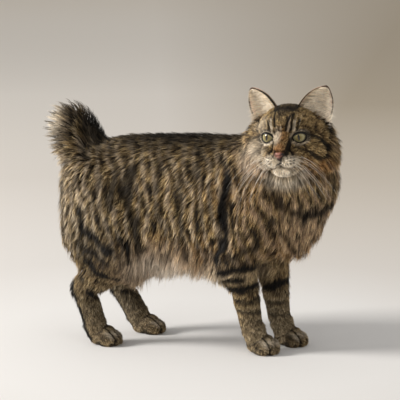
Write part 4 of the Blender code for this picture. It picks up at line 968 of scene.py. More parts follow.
# %% Draw the roots
def draw_roots(per_mm2):
    """Places, normals and map places of roots, with about per_mm2(length) of them on each mm2."""
    mesh = skin.data
    mesh.calc_loop_triangles()
    corners = np.array([tri.vertices for tri in mesh.loop_triangles])
    loops = np.array([tri.loops for tri in mesh.loop_triangles])
    spots = np.zeros(len(mesh.loops) * 2, np.float32)
    mesh.uv_layers["OFBake"].data.foreach_get("uv", spots)
    spots = spots.reshape(-1, 2)
    a, b, c = (skin_points[corners[:, i]] for i in range(3))
    cross = np.cross(b - a, c - a)
    area = np.linalg.norm(cross, axis=1) / 2
    lengths = lie_at((a + b + c) / 3)[1][:, 0]
    counts = draw.poisson(area * 1e6 * per_mm2(lengths))
    picked = np.repeat(np.arange(len(area)), counts)
    u, v = draw.random((2, len(picked)))
    over = u + v > 1
    u[over], v[over] = 1 - u[over], 1 - v[over]
    shares = np.stack([1 - u - v, u, v], axis=1)[:, :, None]
    places = (skin_points[corners[picked]] * shares).sum(axis=1)
    return places, unit(cross[picked]), (spots[loops[picked]] * shares).sum(axis=1)


def hair_density(length):
    return np.interp(length, (0.003, 0.006, 0.012, 0.020, 0.05), (3.2, 2.6, 1.5, 0.94, 0.82))


roots, root_out, root_spot = draw_roots(hair_density)
near, out = nearest(BARE, roots)
keep = ((roots - near) * out).sum(axis=1) > -0.0022
for side in (RIGHT, LEFT):
    seen = into(eye_frame(side), roots)
    away = np.hypot(seen[:, 1] / EYE_OPENING[0], seen[:, 2] / EYE_OPENING[1])
    keep &= ~((seen[:, 0] > 0.002) & (away < 1.16))
    keep &= np.linalg.norm(seen, axis=1) > EYE_RADIUS + 0.0008
seen = into(HEAD, roots) - (0.0485, 0, -0.0095)
keep &= np.linalg.norm(seen / (0.006, 0.0070, 0.0052), axis=1) > 1
keep &= roots[:, 2] > 0.0012
roots, root_out, root_spot = roots[keep], root_out[keep], root_spot[keep]
root_way, root_values = lie_at(roots)
is_long = root_values[:, 0] > 0.0145
print(len(roots), "roots,", int(is_long.sum()), "of long hair")

# %% [markdown]
# ## Ribbons
# Each strand is a flat ribbon that tapers to a point, turned outwards so that light falls on it as
# on the coat, with a little twist of its own. Every ribbon of a piece goes into one mesh. Its patch
# on the map is a few thousandths across, at its root's place on the skin's own map.

# %% Build a mesh of ribbons
PATCH = 0.003


def ribbon_mesh(name, path, outs, width, profile, spot, randoms, marks):
    """Ribbons as one mesh: path and outs have a row of points for each strand, the last one its tip."""
    count, rows = path.shape[:2]
    ahead = unit(np.gradient(path, axis=1))
    across = unit(np.cross(ahead, outs))
    lift = np.cross(across, ahead)
    twist = (draw.normal(0, 0.42, count))[:, None, None]
    across = across * np.cos(twist) + lift * np.sin(twist)
    half = (width[:, None] * np.array(profile) / 2)[:, :, None]
    left, right = path - across * half, path + across * half
    per = 2 * rows - 1
    points = np.empty((count, per, 3))
    points[:, 0:-1:2], points[:, 1:-1:2] = left[:, :-1], right[:, :-1]
    points[:, -1] = path[:, -1]
    quads = [(2 * r, 2 * r + 1, 2 * r + 3, 2 * r + 2) for r in range(rows - 2)]
    ring = [corner for quad in quads for corner in quad] + [per - 3, per - 2, per - 1]
    loops = (np.arange(count)[:, None] * per + np.array(ring)).ravel()
    starts = np.array([4 * r for r in range(rows - 1)])
    starts = (np.arange(count)[:, None] * len(ring) + starts).ravel()
    mesh = bpy.data.meshes.new(name)
    mesh.vertices.add(count * per)
    mesh.vertices.foreach_set("co", points.astype(np.float32).ravel())
    mesh.loops.add(len(loops))
    mesh.loops.foreach_set("vertex_index", loops.astype(np.int32))
    mesh.polygons.add(len(starts))
    mesh.polygons.foreach_set("loop_start", starts.astype(np.int32))
    mesh.update(calc_edges=True)
    mesh.polygons.foreach_set("use_smooth", np.ones(len(starts), bool))
    along = np.array([r / (rows - 1) for r in range(rows - 1) for _ in (0, 1)] + [1.0])
    side = np.array([s for r in range(rows - 1) for s in (-0.5, 0.5)] + [0.0])
    spots = spot[:, None] + PATCH * np.stack([side, along], axis=1)
    layer = mesh.uv_layers.new(name="OFBake")
    layer.data.foreach_set("uv", spots.reshape(-1, 2)[loops].astype(np.float32).ravel())
    strand = np.concatenate([np.broadcast_to(along[:, None], (count, per, 1)),
                             np.broadcast_to(randoms[:, None], (count, per, 2))], axis=2)
    store(mesh, "strand", "FLOAT_VECTOR", strand)
    if marks.ndim == 2:
        marks = np.repeat(marks[:, None], rows, axis=1)
    both = np.repeat(marks, [2] * (rows - 1) + [1], axis=1)
    store(mesh, "markings", "FLOAT_COLOR", both)
    return mesh


def coat_piece(name, mesh):
    made = new_object(name, mesh)
    mesh.materials.append(coat_fur)
    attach(made, "root")
    return made


# %% [markdown]
# ## The long coat
# Long hair doesn't lie singly: it gathers in tufts. So a tuft's path is found first. It leaves the
# skin, rises to its layer in the depth of the coat, and then runs under the coat's surface the way the
# hair lies there; where it hangs free, as under the belly, it leaves the body. Each hair starts at its
# own root, runs with the nearest tuft and draws in towards it, more at the tip.

# %% Paths of the tufts
def tuft_paths(at_root, out_root, steps=4):
    way, values = lie_at(at_root)
    count = len(at_root)
    near, out = nearest(COAT_TOP, at_root)
    depth = np.clip(np.linalg.norm(at_root - near, axis=1), 0.002, 0.024)
    length = values[:, 0] * draw.uniform(0.85, 1.15, count)
    layer = draw.uniform(0.55, 1.06, count)
    stray = draw.normal(size=(count, 3)) * 0.11
    swirl = np.stack([ripple(at_root, 0.03, i) for i in (1, 3, 6)], axis=1) * 0.10
    at, paths, outs = near, [at_root], [out_root]
    for k in range(1, steps + 1):
        share = k / steps
        way, values = lie_at(at)
        loose = at + unit(way + stray + swirl) * (length / steps)[:, None]
        near, out = nearest(COAT_TOP, loose)
        outside = ((loose - near) * out).sum(axis=1) > 0
        free = np.where(outside, values[:, 2], 0)[:, None]
        at = near + (loose - near) * free
        level = min(1.0, 1.9 * share) ** 0.8
        height = (level * layer - 1) * depth + values[:, 1] * share ** 2 * layer
        paths.append(at + out * height[:, None])
        outs.append(unit(out + 0.3 * out_root))
    return np.stack(paths, axis=1), np.stack(outs, axis=1)


def on_path(path, share):
    """A place at that share of each path, run on straight past its end."""
    steps = path.shape[1] - 1
    place = share * steps
    first = np.clip(np.floor(place).astype(int), 0, steps - 1)
    part = (place - first)[..., None]
    rows = np.arange(len(path))[:, None]
    return path[rows, first] * (1 - part) + path[rows, first + 1] * part


# %% Strands of the long coat
HAIRS_IN_TUFT = 8
long_roots = roots[is_long]
chosen = draw.permutation(len(long_roots))[: len(long_roots) // HAIRS_IN_TUFT]
tuft_root, tuft_out = long_roots[chosen], root_out[is_long][chosen]
tuft_path, tuft_outs = tuft_paths(tuft_root, tuft_out)
finder = KDTree(len(tuft_root))
for i, place in enumerate(tuft_root):
    finder.insert(place, i)
finder.balance()
tuft_of = np.array([finder.find(place)[1] for place in long_roots])
count = len(long_roots)
share_of_length = draw.uniform(0.55, 1.08, count)
rows = np.array((0.0, 0.36, 0.70, 1.0))
shares = share_of_length[:, None] * rows
long_path = on_path(tuft_path[tuft_of], shares)
gather = draw.uniform(0.15, 0.62, len(tuft_root))[tuft_of][:, None]
gather = np.where(draw.random((count, 1)) < 0.07, 0.0, gather)
offset = (long_roots - tuft_root[tuft_of])[:, None] * (1 - gather * np.minimum(shares, 1) ** 0.8)[..., None]
frizz = draw.normal(size=(count, 1, 3)) * (0.0013 * shares ** 1.4)[..., None]
long_path = long_path + offset + frizz
long_path[:, :, 2] = np.maximum(long_path[:, :, 2], 0.0004)
# Hair that stands out ahead of the ruff is pressed back to within a centimetre of it.
ahead = cad_box[1][0] + 0.006
long_path[:, :, 0] = np.minimum(long_path[:, :, 0], ahead + 0.4 * (long_path[:, :, 0] - ahead))
long_outs = unit(on_path(tuft_outs[tuft_of], np.minimum(shares, 1.0)))
long_width = np.interp(root_values[is_long, 0], (0.012, 0.03), (0.00050, 0.00070)) * draw.uniform(0.7, 1.3, count)
long_marks = row_markings(long_path)
mottle = 0.5 + 0.26 * ripple(tuft_root, 0.016, 1) + 0.26 * draw.normal(size=len(tuft_root))
tuft_random = np.clip(mottle, 0, 1)
long_randoms = np.stack([0.5 * tuft_random[tuft_of] + 0.5 * draw.random(count),
                         0.62 * tuft_random[tuft_of] + 0.38 * draw.random(count)], axis=1)
print(len(tuft_root), "tufts,", count, "long hairs")

# %% [markdown]
# The long coat is split where a groomer would part it, so that each piece stays light enough to edit.

# %% Pieces of the long coat
COAT_PARTS = {
    "back": ((0.05, 0, 0.28), (-0.03, 0, 0.28), (-0.11, 0, 0.275)),
    "flank_right": ((0.01, -0.06, 0.20), (-0.05, -0.06, 0.19), (-0.02, -0.06, 0.15)),
    "flank_left": ((0.01, 0.06, 0.20), (-0.05, 0.06, 0.19), (-0.02, 0.06, 0.15)),
    "shoulder_right": ((0.075, -0.05, 0.22), (0.075, -0.06, 0.15)),
    "shoulder_left": ((0.075, 0.05, 0.22), (0.075, 0.06, 0.15)),
    "belly": ((0.04, 0, 0.13), (-0.03, 0, 0.13)),
    "chest": ((0.14, 0, 0.19), (0.12, 0, 0.14)),
    "nape": ((0.115, 0.01, 0.27),),
    "haunch_right": ((-0.12, -0.06, 0.20), (-0.12, -0.06, 0.14)),
    "haunch_left": ((-0.12, 0.06, 0.20), (-0.12, 0.06, 0.14)),
    "tail": ((-0.17, 0, 0.29), (-0.17, 0, 0.26), (-0.165, 0, 0.20)),
    "ruff": ((0.13, -0.03, 0.23), (0.165, -0.045, 0.25), (0.095, -0.05, 0.25)),
}


def parted(points):
    names = [name for name, places in COAT_PARTS.items() for _ in places]
    places = np.array([place for places in COAT_PARTS.values() for place in places])
    gaps = np.linalg.norm((points - np.array(SHIFT))[:, None] - places, axis=2)
    return np.array(names)[gaps.argmin(axis=1)]


part_of = parted(long_roots)
for name in COAT_PARTS:
    these = np.flatnonzero(part_of == name)
    mesh = ribbon_mesh("coat_" + name, long_path[these], long_outs[these], long_width[these],
                       (0.75, 1.0, 0.72, 0.0), root_spot[is_long][these], long_randoms[these], long_marks[these])
    coat_piece("coat_" + name, mesh)

# %% [markdown]
# ## Short fur
# On the face and the feet the hair is only 3 to 10 mm long and lies almost flat. Each one leaves the
# skin at an angle and bends down to it, and the skin's own bump carries what is finer.

# %% Strands of the short fur
short_roots, short_out = roots[~is_long], root_out[~is_long]
short_length = root_values[~is_long, 0] * draw.uniform(0.75, 1.2, len(short_roots))
way = root_way[~is_long] + draw.normal(size=short_roots.shape) * 0.13
way = unit(way - short_out * (way * short_out).sum(axis=1, keepdims=True))
chosen = draw.permutation(len(short_roots))[: len(short_roots) // 7]
finder = KDTree(len(chosen))
for i, place in enumerate(short_roots[chosen]):
    finder.insert(place, i)
finder.balance()
tuft_of = np.array([finder.find(place)[1] for place in short_roots])
pull = (short_roots[chosen][tuft_of] - short_roots) * 0.55
steep = np.interp(short_length, (0.003, 0.006, 0.014), (0.42, 0.50, 0.36)) * draw.uniform(0.8, 1.2, len(way))
flat = short_length[:, None] / 2
middle = short_roots + (way * np.cos(steep)[:, None] + short_out * np.sin(steep)[:, None]) * flat + pull * 0.4
tip = middle + (way * 0.99 + short_out * (0.25 * np.sin(steep)[:, None])) * flat + pull * 0.6
short_path = np.stack([short_roots, middle, tip], axis=1)
short_path[:, :, 2] = np.maximum(short_path[:, :, 2], 0.0004)
short_outs = np.repeat(short_out[:, None], 3, axis=1)
short_width = np.interp(short_length, (0.003, 0.007, 0.014), (0.00036, 0.00044, 0.0006))
short_width = short_width * draw.uniform(0.75, 1.25, len(way))
short_marks = markings(short_path[:, 1])
cluster = np.clip(0.5 + 0.16 * ripple(short_roots[chosen], 0.009, 2) + 0.24 * draw.normal(size=len(chosen)), 0, 1)
short_randoms = 0.5 * cluster[tuft_of][:, None] + 0.5 * draw.random((len(way), 2))

# %% Pieces of the short fur
seen = into(HEAD, short_roots)
on_head = np.linalg.norm(seen, axis=1) < 0.075
plain = short_roots - np.array(SHIFT)
SHORT_PARTS = {
    "coat_face_right": on_head & (seen[:, 1] < 0),
    "coat_face_left": on_head & (seen[:, 1] >= 0),
    "coat_foreleg_right": ~on_head & (plain[:, 0] > 0) & (plain[:, 1] < 0),
    "coat_foreleg_left": ~on_head & (plain[:, 0] > 0) & (plain[:, 1] >= 0),
    "coat_hindleg_right": ~on_head & (plain[:, 0] <= 0) & (plain[:, 1] < 0),
    "coat_hindleg_left": ~on_head & (plain[:, 0] <= 0) & (plain[:, 1] >= 0),
}
for name, mask in SHORT_PARTS.items():
    these = np.flatnonzero(mask)
    mesh = ribbon_mesh(name, short_path[these], short_outs[these], short_width[these], (0.85, 1.0, 0.0),
                       root_spot[~is_long][these], short_randoms[these], short_marks[these])
    coat_piece(name, mesh)

# %% [markdown]
# ## Ears
# A cat's ear is a thin cupped cone of cartilage, open forwards and outwards, with short dark fur on
# its back, a thin dark rim, and long pale hairs that sweep across the cup from its inner edge. The
# shell starts as a flat grid that is bent to the cup, and a Solidify modifier gives it its wall.

# %% The ear's shape
# The cat's right ear is turned further out, so that less of its outer half shows.
OUTER_EDGE = {RIGHT: 0.70, LEFT: 0.96}


def ear_frame(side):
    """z from root to tip, x the way its cup faces."""
    root = Vector((EAR_ROOT[0], side * EAR_ROOT[1], EAR_ROOT[2]))
    tip = Vector((EAR_TIP[0], side * EAR_TIP[1], EAR_TIP[2]))
    up = (tip - root).normalized()
    facing = Vector((math.cos(EAR_TURN), side * math.sin(EAR_TURN), 0))
    facing = (facing - up * facing.dot(up)).normalized()
    turn = Matrix((facing, up.cross(facing), up)).transposed().to_4x4()
    return HEAD @ Matrix.Translation(root) @ turn, (tip - root).length


def ear_point(side, across, up, forward=0.0):
    """Points of the cup by their place from edge to edge, from root to tip, and out of the cup."""
    place, height = ear_frame(side)
    place = np.array(place)
    narrow = np.maximum(0.0, 1 - np.minimum(np.maximum(up, 0.0), 1.0) ** 3.0) ** 0.85
    half_width = 0.0012 + EAR_HALF_WIDTH * narrow * (1 - 0.25 * np.maximum(-up, 0.0))
    half_width = half_width * np.where(across * side > 0, OUTER_EDGE[side], 1.0)
    depth = EAR_DEPTH * (0.12 + 0.88 * narrow)
    points = np.stack([-0.004 * up * up - depth * (1 - across ** 2) + forward,
                       half_width * across, 1.035 * height * up], axis=-1)
    return points @ place[:3, :3].T + place[:3, 3]


# %% Ear shells
inner_ear, tree, shader = new_material("thin_ear_skin", Roughness=0.60, IOR=1.4, Specular_IOR_Level=0.25,
                                       Subsurface_Weight=0.15, Subsurface_Scale=0.004)
inside = add(tree, "ShaderNodeAttribute", attribute_name="inside")
where = add(tree, "ShaderNodeTexCoord")
# Fine veins and pores of the ear's lining, about 2 mm apart.
veins = add(tree, "ShaderNodeTexNoise", {"Vector": where.outputs["Object"], "Scale": 500.0, "Detail": 3.0})
lining = set_stops(add(tree, "ShaderNodeValToRGB", {0: veins.outputs[0]}),
                   ((0.3, "#bd9a86"), (0.7, "#d8bfab")))
backing = set_stops(add(tree, "ShaderNodeValToRGB", {0: veins.outputs[0]}),
                    ((0.3, "#2b221a"), (0.7, "#5a4835")))
ear_colour = add(tree, "ShaderNodeMix", {0: inside.outputs["Fac"], 6: backing, 7: lining}, data_type="RGBA")
tree.links.new(ear_colour.outputs[2], shader.inputs["Base Color"])
for side, side_name in SIDE_NAME.items():
    bpy.ops.mesh.primitive_grid_add(x_subdivisions=26, y_subdivisions=34, size=2)
    ear = bpy.context.object
    ear.name = ear.data.name = "ear_shell_" + side_name
    flat_points = np.array([vert.co for vert in ear.data.vertices])
    shaped = ear_point(side, flat_points[:, 0], -0.22 + 0.61 * (flat_points[:, 1] + 1))
    ear.data.vertices.foreach_set("co", shaped.astype(np.float32).ravel())
    apply_modifier(ear, "SOLIDIFY", thickness=EAR_WALL, offset=0)
    facing = np.array(ear_frame(side)[0].to_3x3() @ Vector((1, 0, 0)))
    normals = np.array([vert.normal for vert in ear.data.vertices])
    place, height = ear_frame(side)
    local = into(place, np.array([vert.co for vert in ear.data.vertices]))
    inward = np.clip(normals @ facing * 6, 0, 1) * np.clip((1.04 - np.abs(local[:, 2]) / height) * 12, 0, 1)
    store(ear.data, "inside", "FLOAT", inward)
    take(ear)
    bpy.ops.object.shade_smooth()
    ear.data.materials.clear()
    ear.data.materials.append(inner_ear)
    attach(ear, "root")
    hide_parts("ear_" + side_name)
print("ears shaped")

# %% Fur of the ears
def ear_fur(side):
    """Paths, ways out, widths, lengths' marks of back, rim and cup hairs of one ear."""
    facing = np.array(ear_frame(side)[0].to_3x3() @ Vector((1, 0, 0)))
    sets = []
    # Back of the ear: short and dense, lying towards the tip.
    count = 9000
    up = np.sqrt(draw.random(count)) * -1.15 + 1.02
    across = draw.uniform(-1, 1, count)
    back = -(EAR_WALL / 2) - 0.0001
    run = draw.uniform(0.07, 0.11, count)
    rows = [ear_point(side, across, up, back),
            ear_point(side, across * 1.0, np.minimum(up + run, 0.96), back - 0.0008),
            ear_point(side, across * 0.98, np.minimum(up + 2 * run, 0.985), back - 0.0011)]
    marks = np.zeros((count, 4))
    marks[:, DARK] = 0.45
    marks[:, GREY] = 0.5
    sets.append((np.stack(rows, 1), np.broadcast_to(-facing, (count, 3, 3)), 0.00045, marks))
    # Rim: hairs along both edges, dark on the inner edge and buff on the outer.
    count = 3200
    up, edge = draw.uniform(-0.1, 0.94, count), draw.choice((-1, 1), count)
    push = draw.uniform(0.0, 0.0012, count)
    wide = (edge * side < 0) & (side == RIGHT)
    start = draw.uniform(np.where(wide, 0.66 + 0.2 * up, 0.86), 1.0)
    rows = [ear_point(side, edge * start, up, np.where(wide, 0.0030, 0.0010)),
            ear_point(side, edge * (1.02 + 20 * push), up + 0.05, np.where(wide, 0.0016, 0.0003)),
            ear_point(side, edge * (1.03 + 40 * push), np.minimum(up + 0.11, 0.985), 0.0002)]
    marks = np.zeros((count, 4))
    marks[:, DARK] = np.where(edge * side < 0, 0.85 if side == RIGHT else 0.35, 0.55)
    marks[:, PALE] = np.where(edge * side < 0, 0.0, np.clip(0.45 - 1.5 * up, 0, 0.4))
    sets.append((np.stack(rows, 1), np.broadcast_to(facing, (count, 3, 3)), 0.00040, marks))
    # Cup: long pale hairs from the inner edge and from the base, sweeping outwards and up.
    count = 2600
    up = draw.uniform(-0.05, 0.90, count)
    start = -side * draw.uniform(-0.35, 1.0, count)
    reach = draw.uniform(0.5, 1.1, count) * (1 - 0.35 * up)
    bow = draw.uniform(0.0015, 0.0065, count)
    rows = [ear_point(side, start, up, 0.0008),
            ear_point(side, start + side * reach * 0.45, up + 0.05, 0.0008 + bow),
            ear_point(side, start + side * reach, np.minimum(up + draw.uniform(0.05, 0.14, count), 0.97),
                      0.0008 + bow * 0.9)]
    marks = np.zeros((count, 4))
    marks[:, PALE] = draw.uniform(0.75, 1.0, count)
    marks[:, DARK] = np.where(draw.random(count) < (0.10 if side == RIGHT else 0.32) * (1 - up), 0.55, 0.0)
    sets.append((np.stack(rows, 1), np.broadcast_to(facing, (count, 3, 3)), 0.00038, marks))
    # Tufts at the base of the cup.
    count = 900
    across, up = draw.uniform(-0.8, 1.0, count) * side, draw.uniform(-0.15, 0.12, count)
    rows = [ear_point(side, across, up, 0.001),
            ear_point(side, across * 0.95, up + 0.10, 0.005),
            ear_point(side, across * 1.05 + side * 0.1, up + draw.uniform(0.20, 0.38, count), 0.0075)]
    marks = np.zeros((count, 4))
    marks[:, PALE] = draw.uniform(0.6, 1.0, count)
    sets.append((np.stack(rows, 1), np.broadcast_to(facing, (count, 3, 3)), 0.00045, marks))
    return sets


for side, side_name in SIDE_NAME.items():
    sets = ear_fur(side)
    path = np.concatenate([item[0] for item in sets])
    outs = np.concatenate([item[1] for item in sets])
    width = np.concatenate([np.full(len(item[0]), item[2]) for item in sets]) * draw.uniform(0.7, 1.3, len(path))
    marks = np.concatenate([item[3] for item in sets])
    local = into(ear_frame(side)[0], path[:, 0])
    spot = 0.5 + local[:, 1:] / 0.12
    mesh = ribbon_mesh("coat_ear_" + side_name, path, outs, width, (0.85, 1.0, 0.0), spot,
                       draw.random((len(path), 2)) * (1.0, 0.5) + (0, 0.44), marks)
    coat_piece("coat_ear_" + side_name, mesh)

# %% [markdown]
# ## Eyes
# A cat's eye is nearly all iris: pale yellow-green with fine spokes, a narrow band of gold round a
# slit pupil, and a dark outer ring. Over it stands the clear cornea, a dome steeper than the ball,
# always wet. Here the ball itself bulges in front and carries the iris, with a clear coat for the wet.

# %% The eye's material
wet_eye, tree, shader = new_material("wet_green_gold_eye", Roughness=0.22, IOR=1.376, Coat_Weight=1.0,
                                     Coat_Roughness=0.02, Coat_IOR=1.38)
iris_at = add(tree, "ShaderNodeAttribute", attribute_name="iris")
flat_at = add(tree, "ShaderNodeSeparateXYZ", {0: iris_at.outputs["Vector"]})
spokes_at = add(tree, "ShaderNodeAttribute", attribute_name="spokes")
# Muscle fibres of the iris, about 0.3 mm across.
fibres = add(tree, "ShaderNodeTexNoise", {"Vector": spokes_at.outputs["Vector"], "Scale": 7.0, "Detail": 5.0,
                                          "Roughness": 0.65})
ring = add(tree, "ShaderNodeVectorMath", {0: iris_at.outputs["Vector"]}, operation="LENGTH")
uneven = add(tree, "ShaderNodeMapRange", {0: fibres.outputs[0], 1: 0.3, 2: 0.7, 3: -0.10, 4: 0.10})
radius = add(tree, "ShaderNodeMath", {0: ring.outputs["Value"], 1: uneven.outputs[0]})
iris = set_stops(add(tree, "ShaderNodeValToRGB", {0: radius.outputs[0]}), (
    (0.0, "#4f3a18"), (0.26, "#77652f"), (0.42, "#8c8156"), (0.66, "#a49d79"), (0.80, "#857d5c"),
    (0.90, "#383020"), (1.0, "#120e0a")))
squash = add(tree, "ShaderNodeVectorMath", {0: iris_at.outputs["Vector"], 1: (6.6, 2.5, 0.0)},
             operation="MULTIPLY")
slit = add(tree, "ShaderNodeVectorMath", {0: squash.outputs[0]}, operation="LENGTH")
open_part = add(tree, "ShaderNodeMapRange", {0: slit.outputs["Value"], 1: 0.92, 2: 1.06})
eye_colour = add(tree, "ShaderNodeMix", {0: open_part.outputs[0], 6: srgb("#060504"), 7: iris}, data_type="RGBA")
tree.links.new(eye_colour.outputs[2], shader.inputs["Base Color"])

# %% Eyeballs that look at the same place
IRIS_RADIUS = 0.0098
GAZE = {RIGHT: (math.radians(-3), math.radians(2)), LEFT: (math.radians(8), math.radians(0))}
for side, side_name in SIDE_NAME.items():
    turn, raise_by = GAZE[side]
    toward = eye_frame(side) @ Matrix.Rotation(-turn, 4, "Z") @ Matrix.Rotation(-raise_by, 4, "Y")
    eye = ball_object("eyeball_" + side_name, Matrix.Identity(4), EYE_RADIUS, 64, 48)
    shape = np.array([vert.co for vert in eye.data.vertices])
    angle = np.arccos(np.clip(shape[:, 0] / EYE_RADIUS, -1, 1))
    dome = np.clip(1 - (angle / math.radians(54)) ** 2, 0, 1)
    shape *= (1 + 0.055 * dome ** 1.2)[:, None]
    flat = shape[:, 1:] / IRIS_RADIUS
    far = np.where(shape[:, 0] > 0, 1.0, 9.0)
    flat3 = np.stack([flat[:, 0] * far, flat[:, 1] * far, np.zeros(len(flat))], axis=1)
    store(eye.data, "iris", "FLOAT_VECTOR", flat3)
    size = np.maximum(np.linalg.norm(flat, axis=1), 0.05)[:, None]
    store(eye.data, "spokes", "FLOAT_VECTOR", np.concatenate([flat / size, size * 0.15], axis=1))
    eye.data.vertices.foreach_set("co", shape.astype(np.float32).ravel())
    eye.data.transform(toward)
    take(eye)
    bpy.ops.object.shade_smooth()
    eye.data.materials.append(wet_eye)
    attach(eye, "root")
    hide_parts("eye_" + side_name)
print("eyes", EYE_RADIUS * 2000, "mm across")

# %% [markdown]
# The margin of the lids is bare, black and moist, as if drawn with a pencil. It runs all round the
# almond and is a little thicker at the inner corner. A curve bent round the opening makes it.

# %% Lid margins
black_margin, tree, shader = new_material("moist_black_lid_margin", Roughness=0.35, IOR=1.4, Coat_Weight=0.2)
where = add(tree, "ShaderNodeTexCoord")
folds = add(tree, "ShaderNodeTexNoise", {"Vector": where.outputs["Object"], "Scale": 900.0, "Detail": 2.0})
margin_colour = set_stops(add(tree, "ShaderNodeValToRGB", {0: folds.outputs[0]}),
                          ((0.35, "#0b0807"), (0.75, "#1d1511")))
tree.links.new(margin_colour, shader.inputs["Base Color"])


def tube(name, lines, finish, resolution=2, cyclic=False):
    """Round tubes along lines of points with radii, as one mesh."""
    curve = bpy.data.curves.new(name, "CURVE")
    curve.dimensions, curve.bevel_depth, curve.bevel_resolution = "3D", 1.0, resolution
    curve.use_fill_caps = True
    for line in lines:
        spline = curve.splines.new("POLY")
        spline.points.add(len(line) - 1)
        for point, (at, radius) in zip(spline.points, line):
            point.co, point.radius = (*at, 1), radius
        spline.use_cyclic_u = cyclic
    made = new_object(name, curve)
    take(made)
    bpy.ops.object.convert(target="MESH")
    made = bpy.context.object
    made.name = made.data.name = name
    made.data.materials.clear()
    made.data.materials.append(finish)
    take(made)
    bpy.ops.object.shade_smooth()
    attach(made, "root")
    return made


for side, side_name in SIDE_NAME.items():
    line = []
    for i in range(72):
        turn = 2 * math.pi * i / 72
        across, up = almond(turn, 1.0)
        inner = max(0.0, -side * math.cos(turn)) ** 6
        across -= side * 0.0016 * inner
        up -= 0.0007 * inner
        out = math.sqrt((EYE_RADIUS + 0.0009) ** 2 - across ** 2 - up ** 2)
        line.append((eye_frame(side) @ Vector((out, across, up)), 0.00075 + 0.0003 * inner))
    margin = tube("lid_margin_" + side_name, [line], black_margin, 3, cyclic=True)

# %% [markdown]
# ## Nose leather, lips and whiskers
# The nose leather is bare skin with fine pebbles, brick pink with a darker edge, darker on the cat's left, and darker
# towards the bottom, partly its dark rim and partly painted shade under the nose. Each nostril opens forward and curls
# to the side. It is fused from two balls, and the nostrils are cut out.

# %% Nose leather
brick_nose, tree, shader = new_material("pebbled_nose_leather", Roughness=0.42, IOR=1.4, Coat_Weight=0.15,
                                        Coat_Roughness=0.3)
edge = add(tree, "ShaderNodeAttribute", attribute_name="edge")
where = add(tree, "ShaderNodeTexCoord")
# Pebbles of a cat's nose are about 0.4 mm across.
pebbles = add(tree, "ShaderNodeTexVoronoi", {"Vector": where.outputs["Object"], "Scale": 2400.0})
blotch = add(tree, "ShaderNodeTexNoise", {"Vector": where.outputs["Object"], "Scale": 320.0})
mottled = add(tree, "ShaderNodeMath", {0: edge.outputs["Fac"], 1: blotch.outputs[0]})
nose_colour = set_stops(add(tree, "ShaderNodeValToRGB", {0: mottled.outputs[0]}),
                        ((0.36, "#b07a69"), (0.66, "#6a4138"), (0.88, "#1a100d")))
tree.links.new(nose_colour, shader.inputs["Base Color"])
bump = add(tree, "ShaderNodeBump", {"Height": pebbles.outputs[0], "Strength": 0.4, "Distance": 0.0002})
tree.links.new(bump.outputs[0], shader.inputs["Normal"])
nose = fuse("nose_pad", nose_leather(), 0, 0.00045, 0.0007)
for side in (RIGHT, LEFT):
    hole = [(0.0528, side * 0.0030, -0.0108), (0.0512, side * 0.0052, -0.0118)]
    cut_out(nose, fuse("nostril", limb(hole, (0.0013, 0.0007), 0, HEAD), 0, 0.0003, 0.0003))
nose_points = into(HEAD, np.array([vert.co for vert in nose.data.vertices]))
sideways = np.abs(nose_points[:, 1]) / 0.0066
# Darker towards the bottom: partly the dark rim of the leather, partly painted shade under the nose.
below = np.clip((-0.0100 - nose_points[:, 2]) / 0.004, 0, 1)
dark_side = np.clip((nose_points[:, 1] - 0.0010) / 0.004, 0, 1)
store(nose.data, "edge", "FLOAT", np.clip(0.45 * sideways ** 3 + 0.45 * below + 0.35 * dark_side, 0, 1))
take(nose)
bpy.ops.object.shade_smooth()
nose.data.materials.clear()
nose.data.materials.append(brick_nose)
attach(nose, "root")
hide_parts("nose")

# %% Lips: the line from the nose down, then back under the whisker pads
MOUTH = (
    (0.0500, 0, -0.0150), (0.0490, 0, -0.0200), (0.0470, 0.0035, -0.0235), (0.0430, 0.0085, -0.0250),
    (0.0370, 0.0130, -0.0245), (0.0300, 0.0165, -0.0225), (0.0220, 0.0190, -0.0200),
)


def on_head_skin(at, side=1):
    return head_tree.find_nearest(HEAD @ Vector((at[0], side * at[1], at[2])))[0]


lip_lines = []
for side in (RIGHT, LEFT):
    places = [on_head_skin(at, side) for at in MOUTH]
    radii = (0.0017, 0.0011, 0.0009, 0.0010, 0.0009, 0.0006, 0.0003)
    lip_lines.append(list(zip(places, radii)))
lips = tube("lips", lip_lines, black_margin, 2)

# %% [markdown]
# Whiskers are stiff hairs about 0.3 mm thick at the root that taper to nothing, set in four rows on
# each pad. They leave the pad sideways and bow down and back. A few stand over each eye.

# %% Whiskers
white_whisker, tree, shader = new_material("white_whisker_keratin", Roughness=0.35, IOR=1.55,
                                           Specular_IOR_Level=0.4)
where = add(tree, "ShaderNodeTexCoord")
tint = add(tree, "ShaderNodeTexNoise", {"Vector": where.outputs["Object"], "Scale": 60.0})
whisker_colour = set_stops(add(tree, "ShaderNodeValToRGB", {0: tint.outputs[0]}),
                           ((0.3, "#ddd2c0"), (0.7, "#f1e9dc")))
tree.links.new(whisker_colour, shader.inputs["Base Color"])
WHISKER_ROWS = (
    (-0.0128, ((0.0430, 0.0140), (0.0375, 0.0185), (0.0315, 0.0215))),
    (-0.0165, ((0.0480, 0.0100), (0.0436, 0.0155), (0.0370, 0.0205), (0.0300, 0.0235))),
    (-0.0200, ((0.0475, 0.0100), (0.0425, 0.0155), (0.0360, 0.0200), (0.0290, 0.0225))),
    (-0.0230, ((0.0440, 0.0110), (0.0385, 0.0160), (0.0320, 0.0195))),
)
whisker_lines = []
turn_head = HEAD.to_3x3()
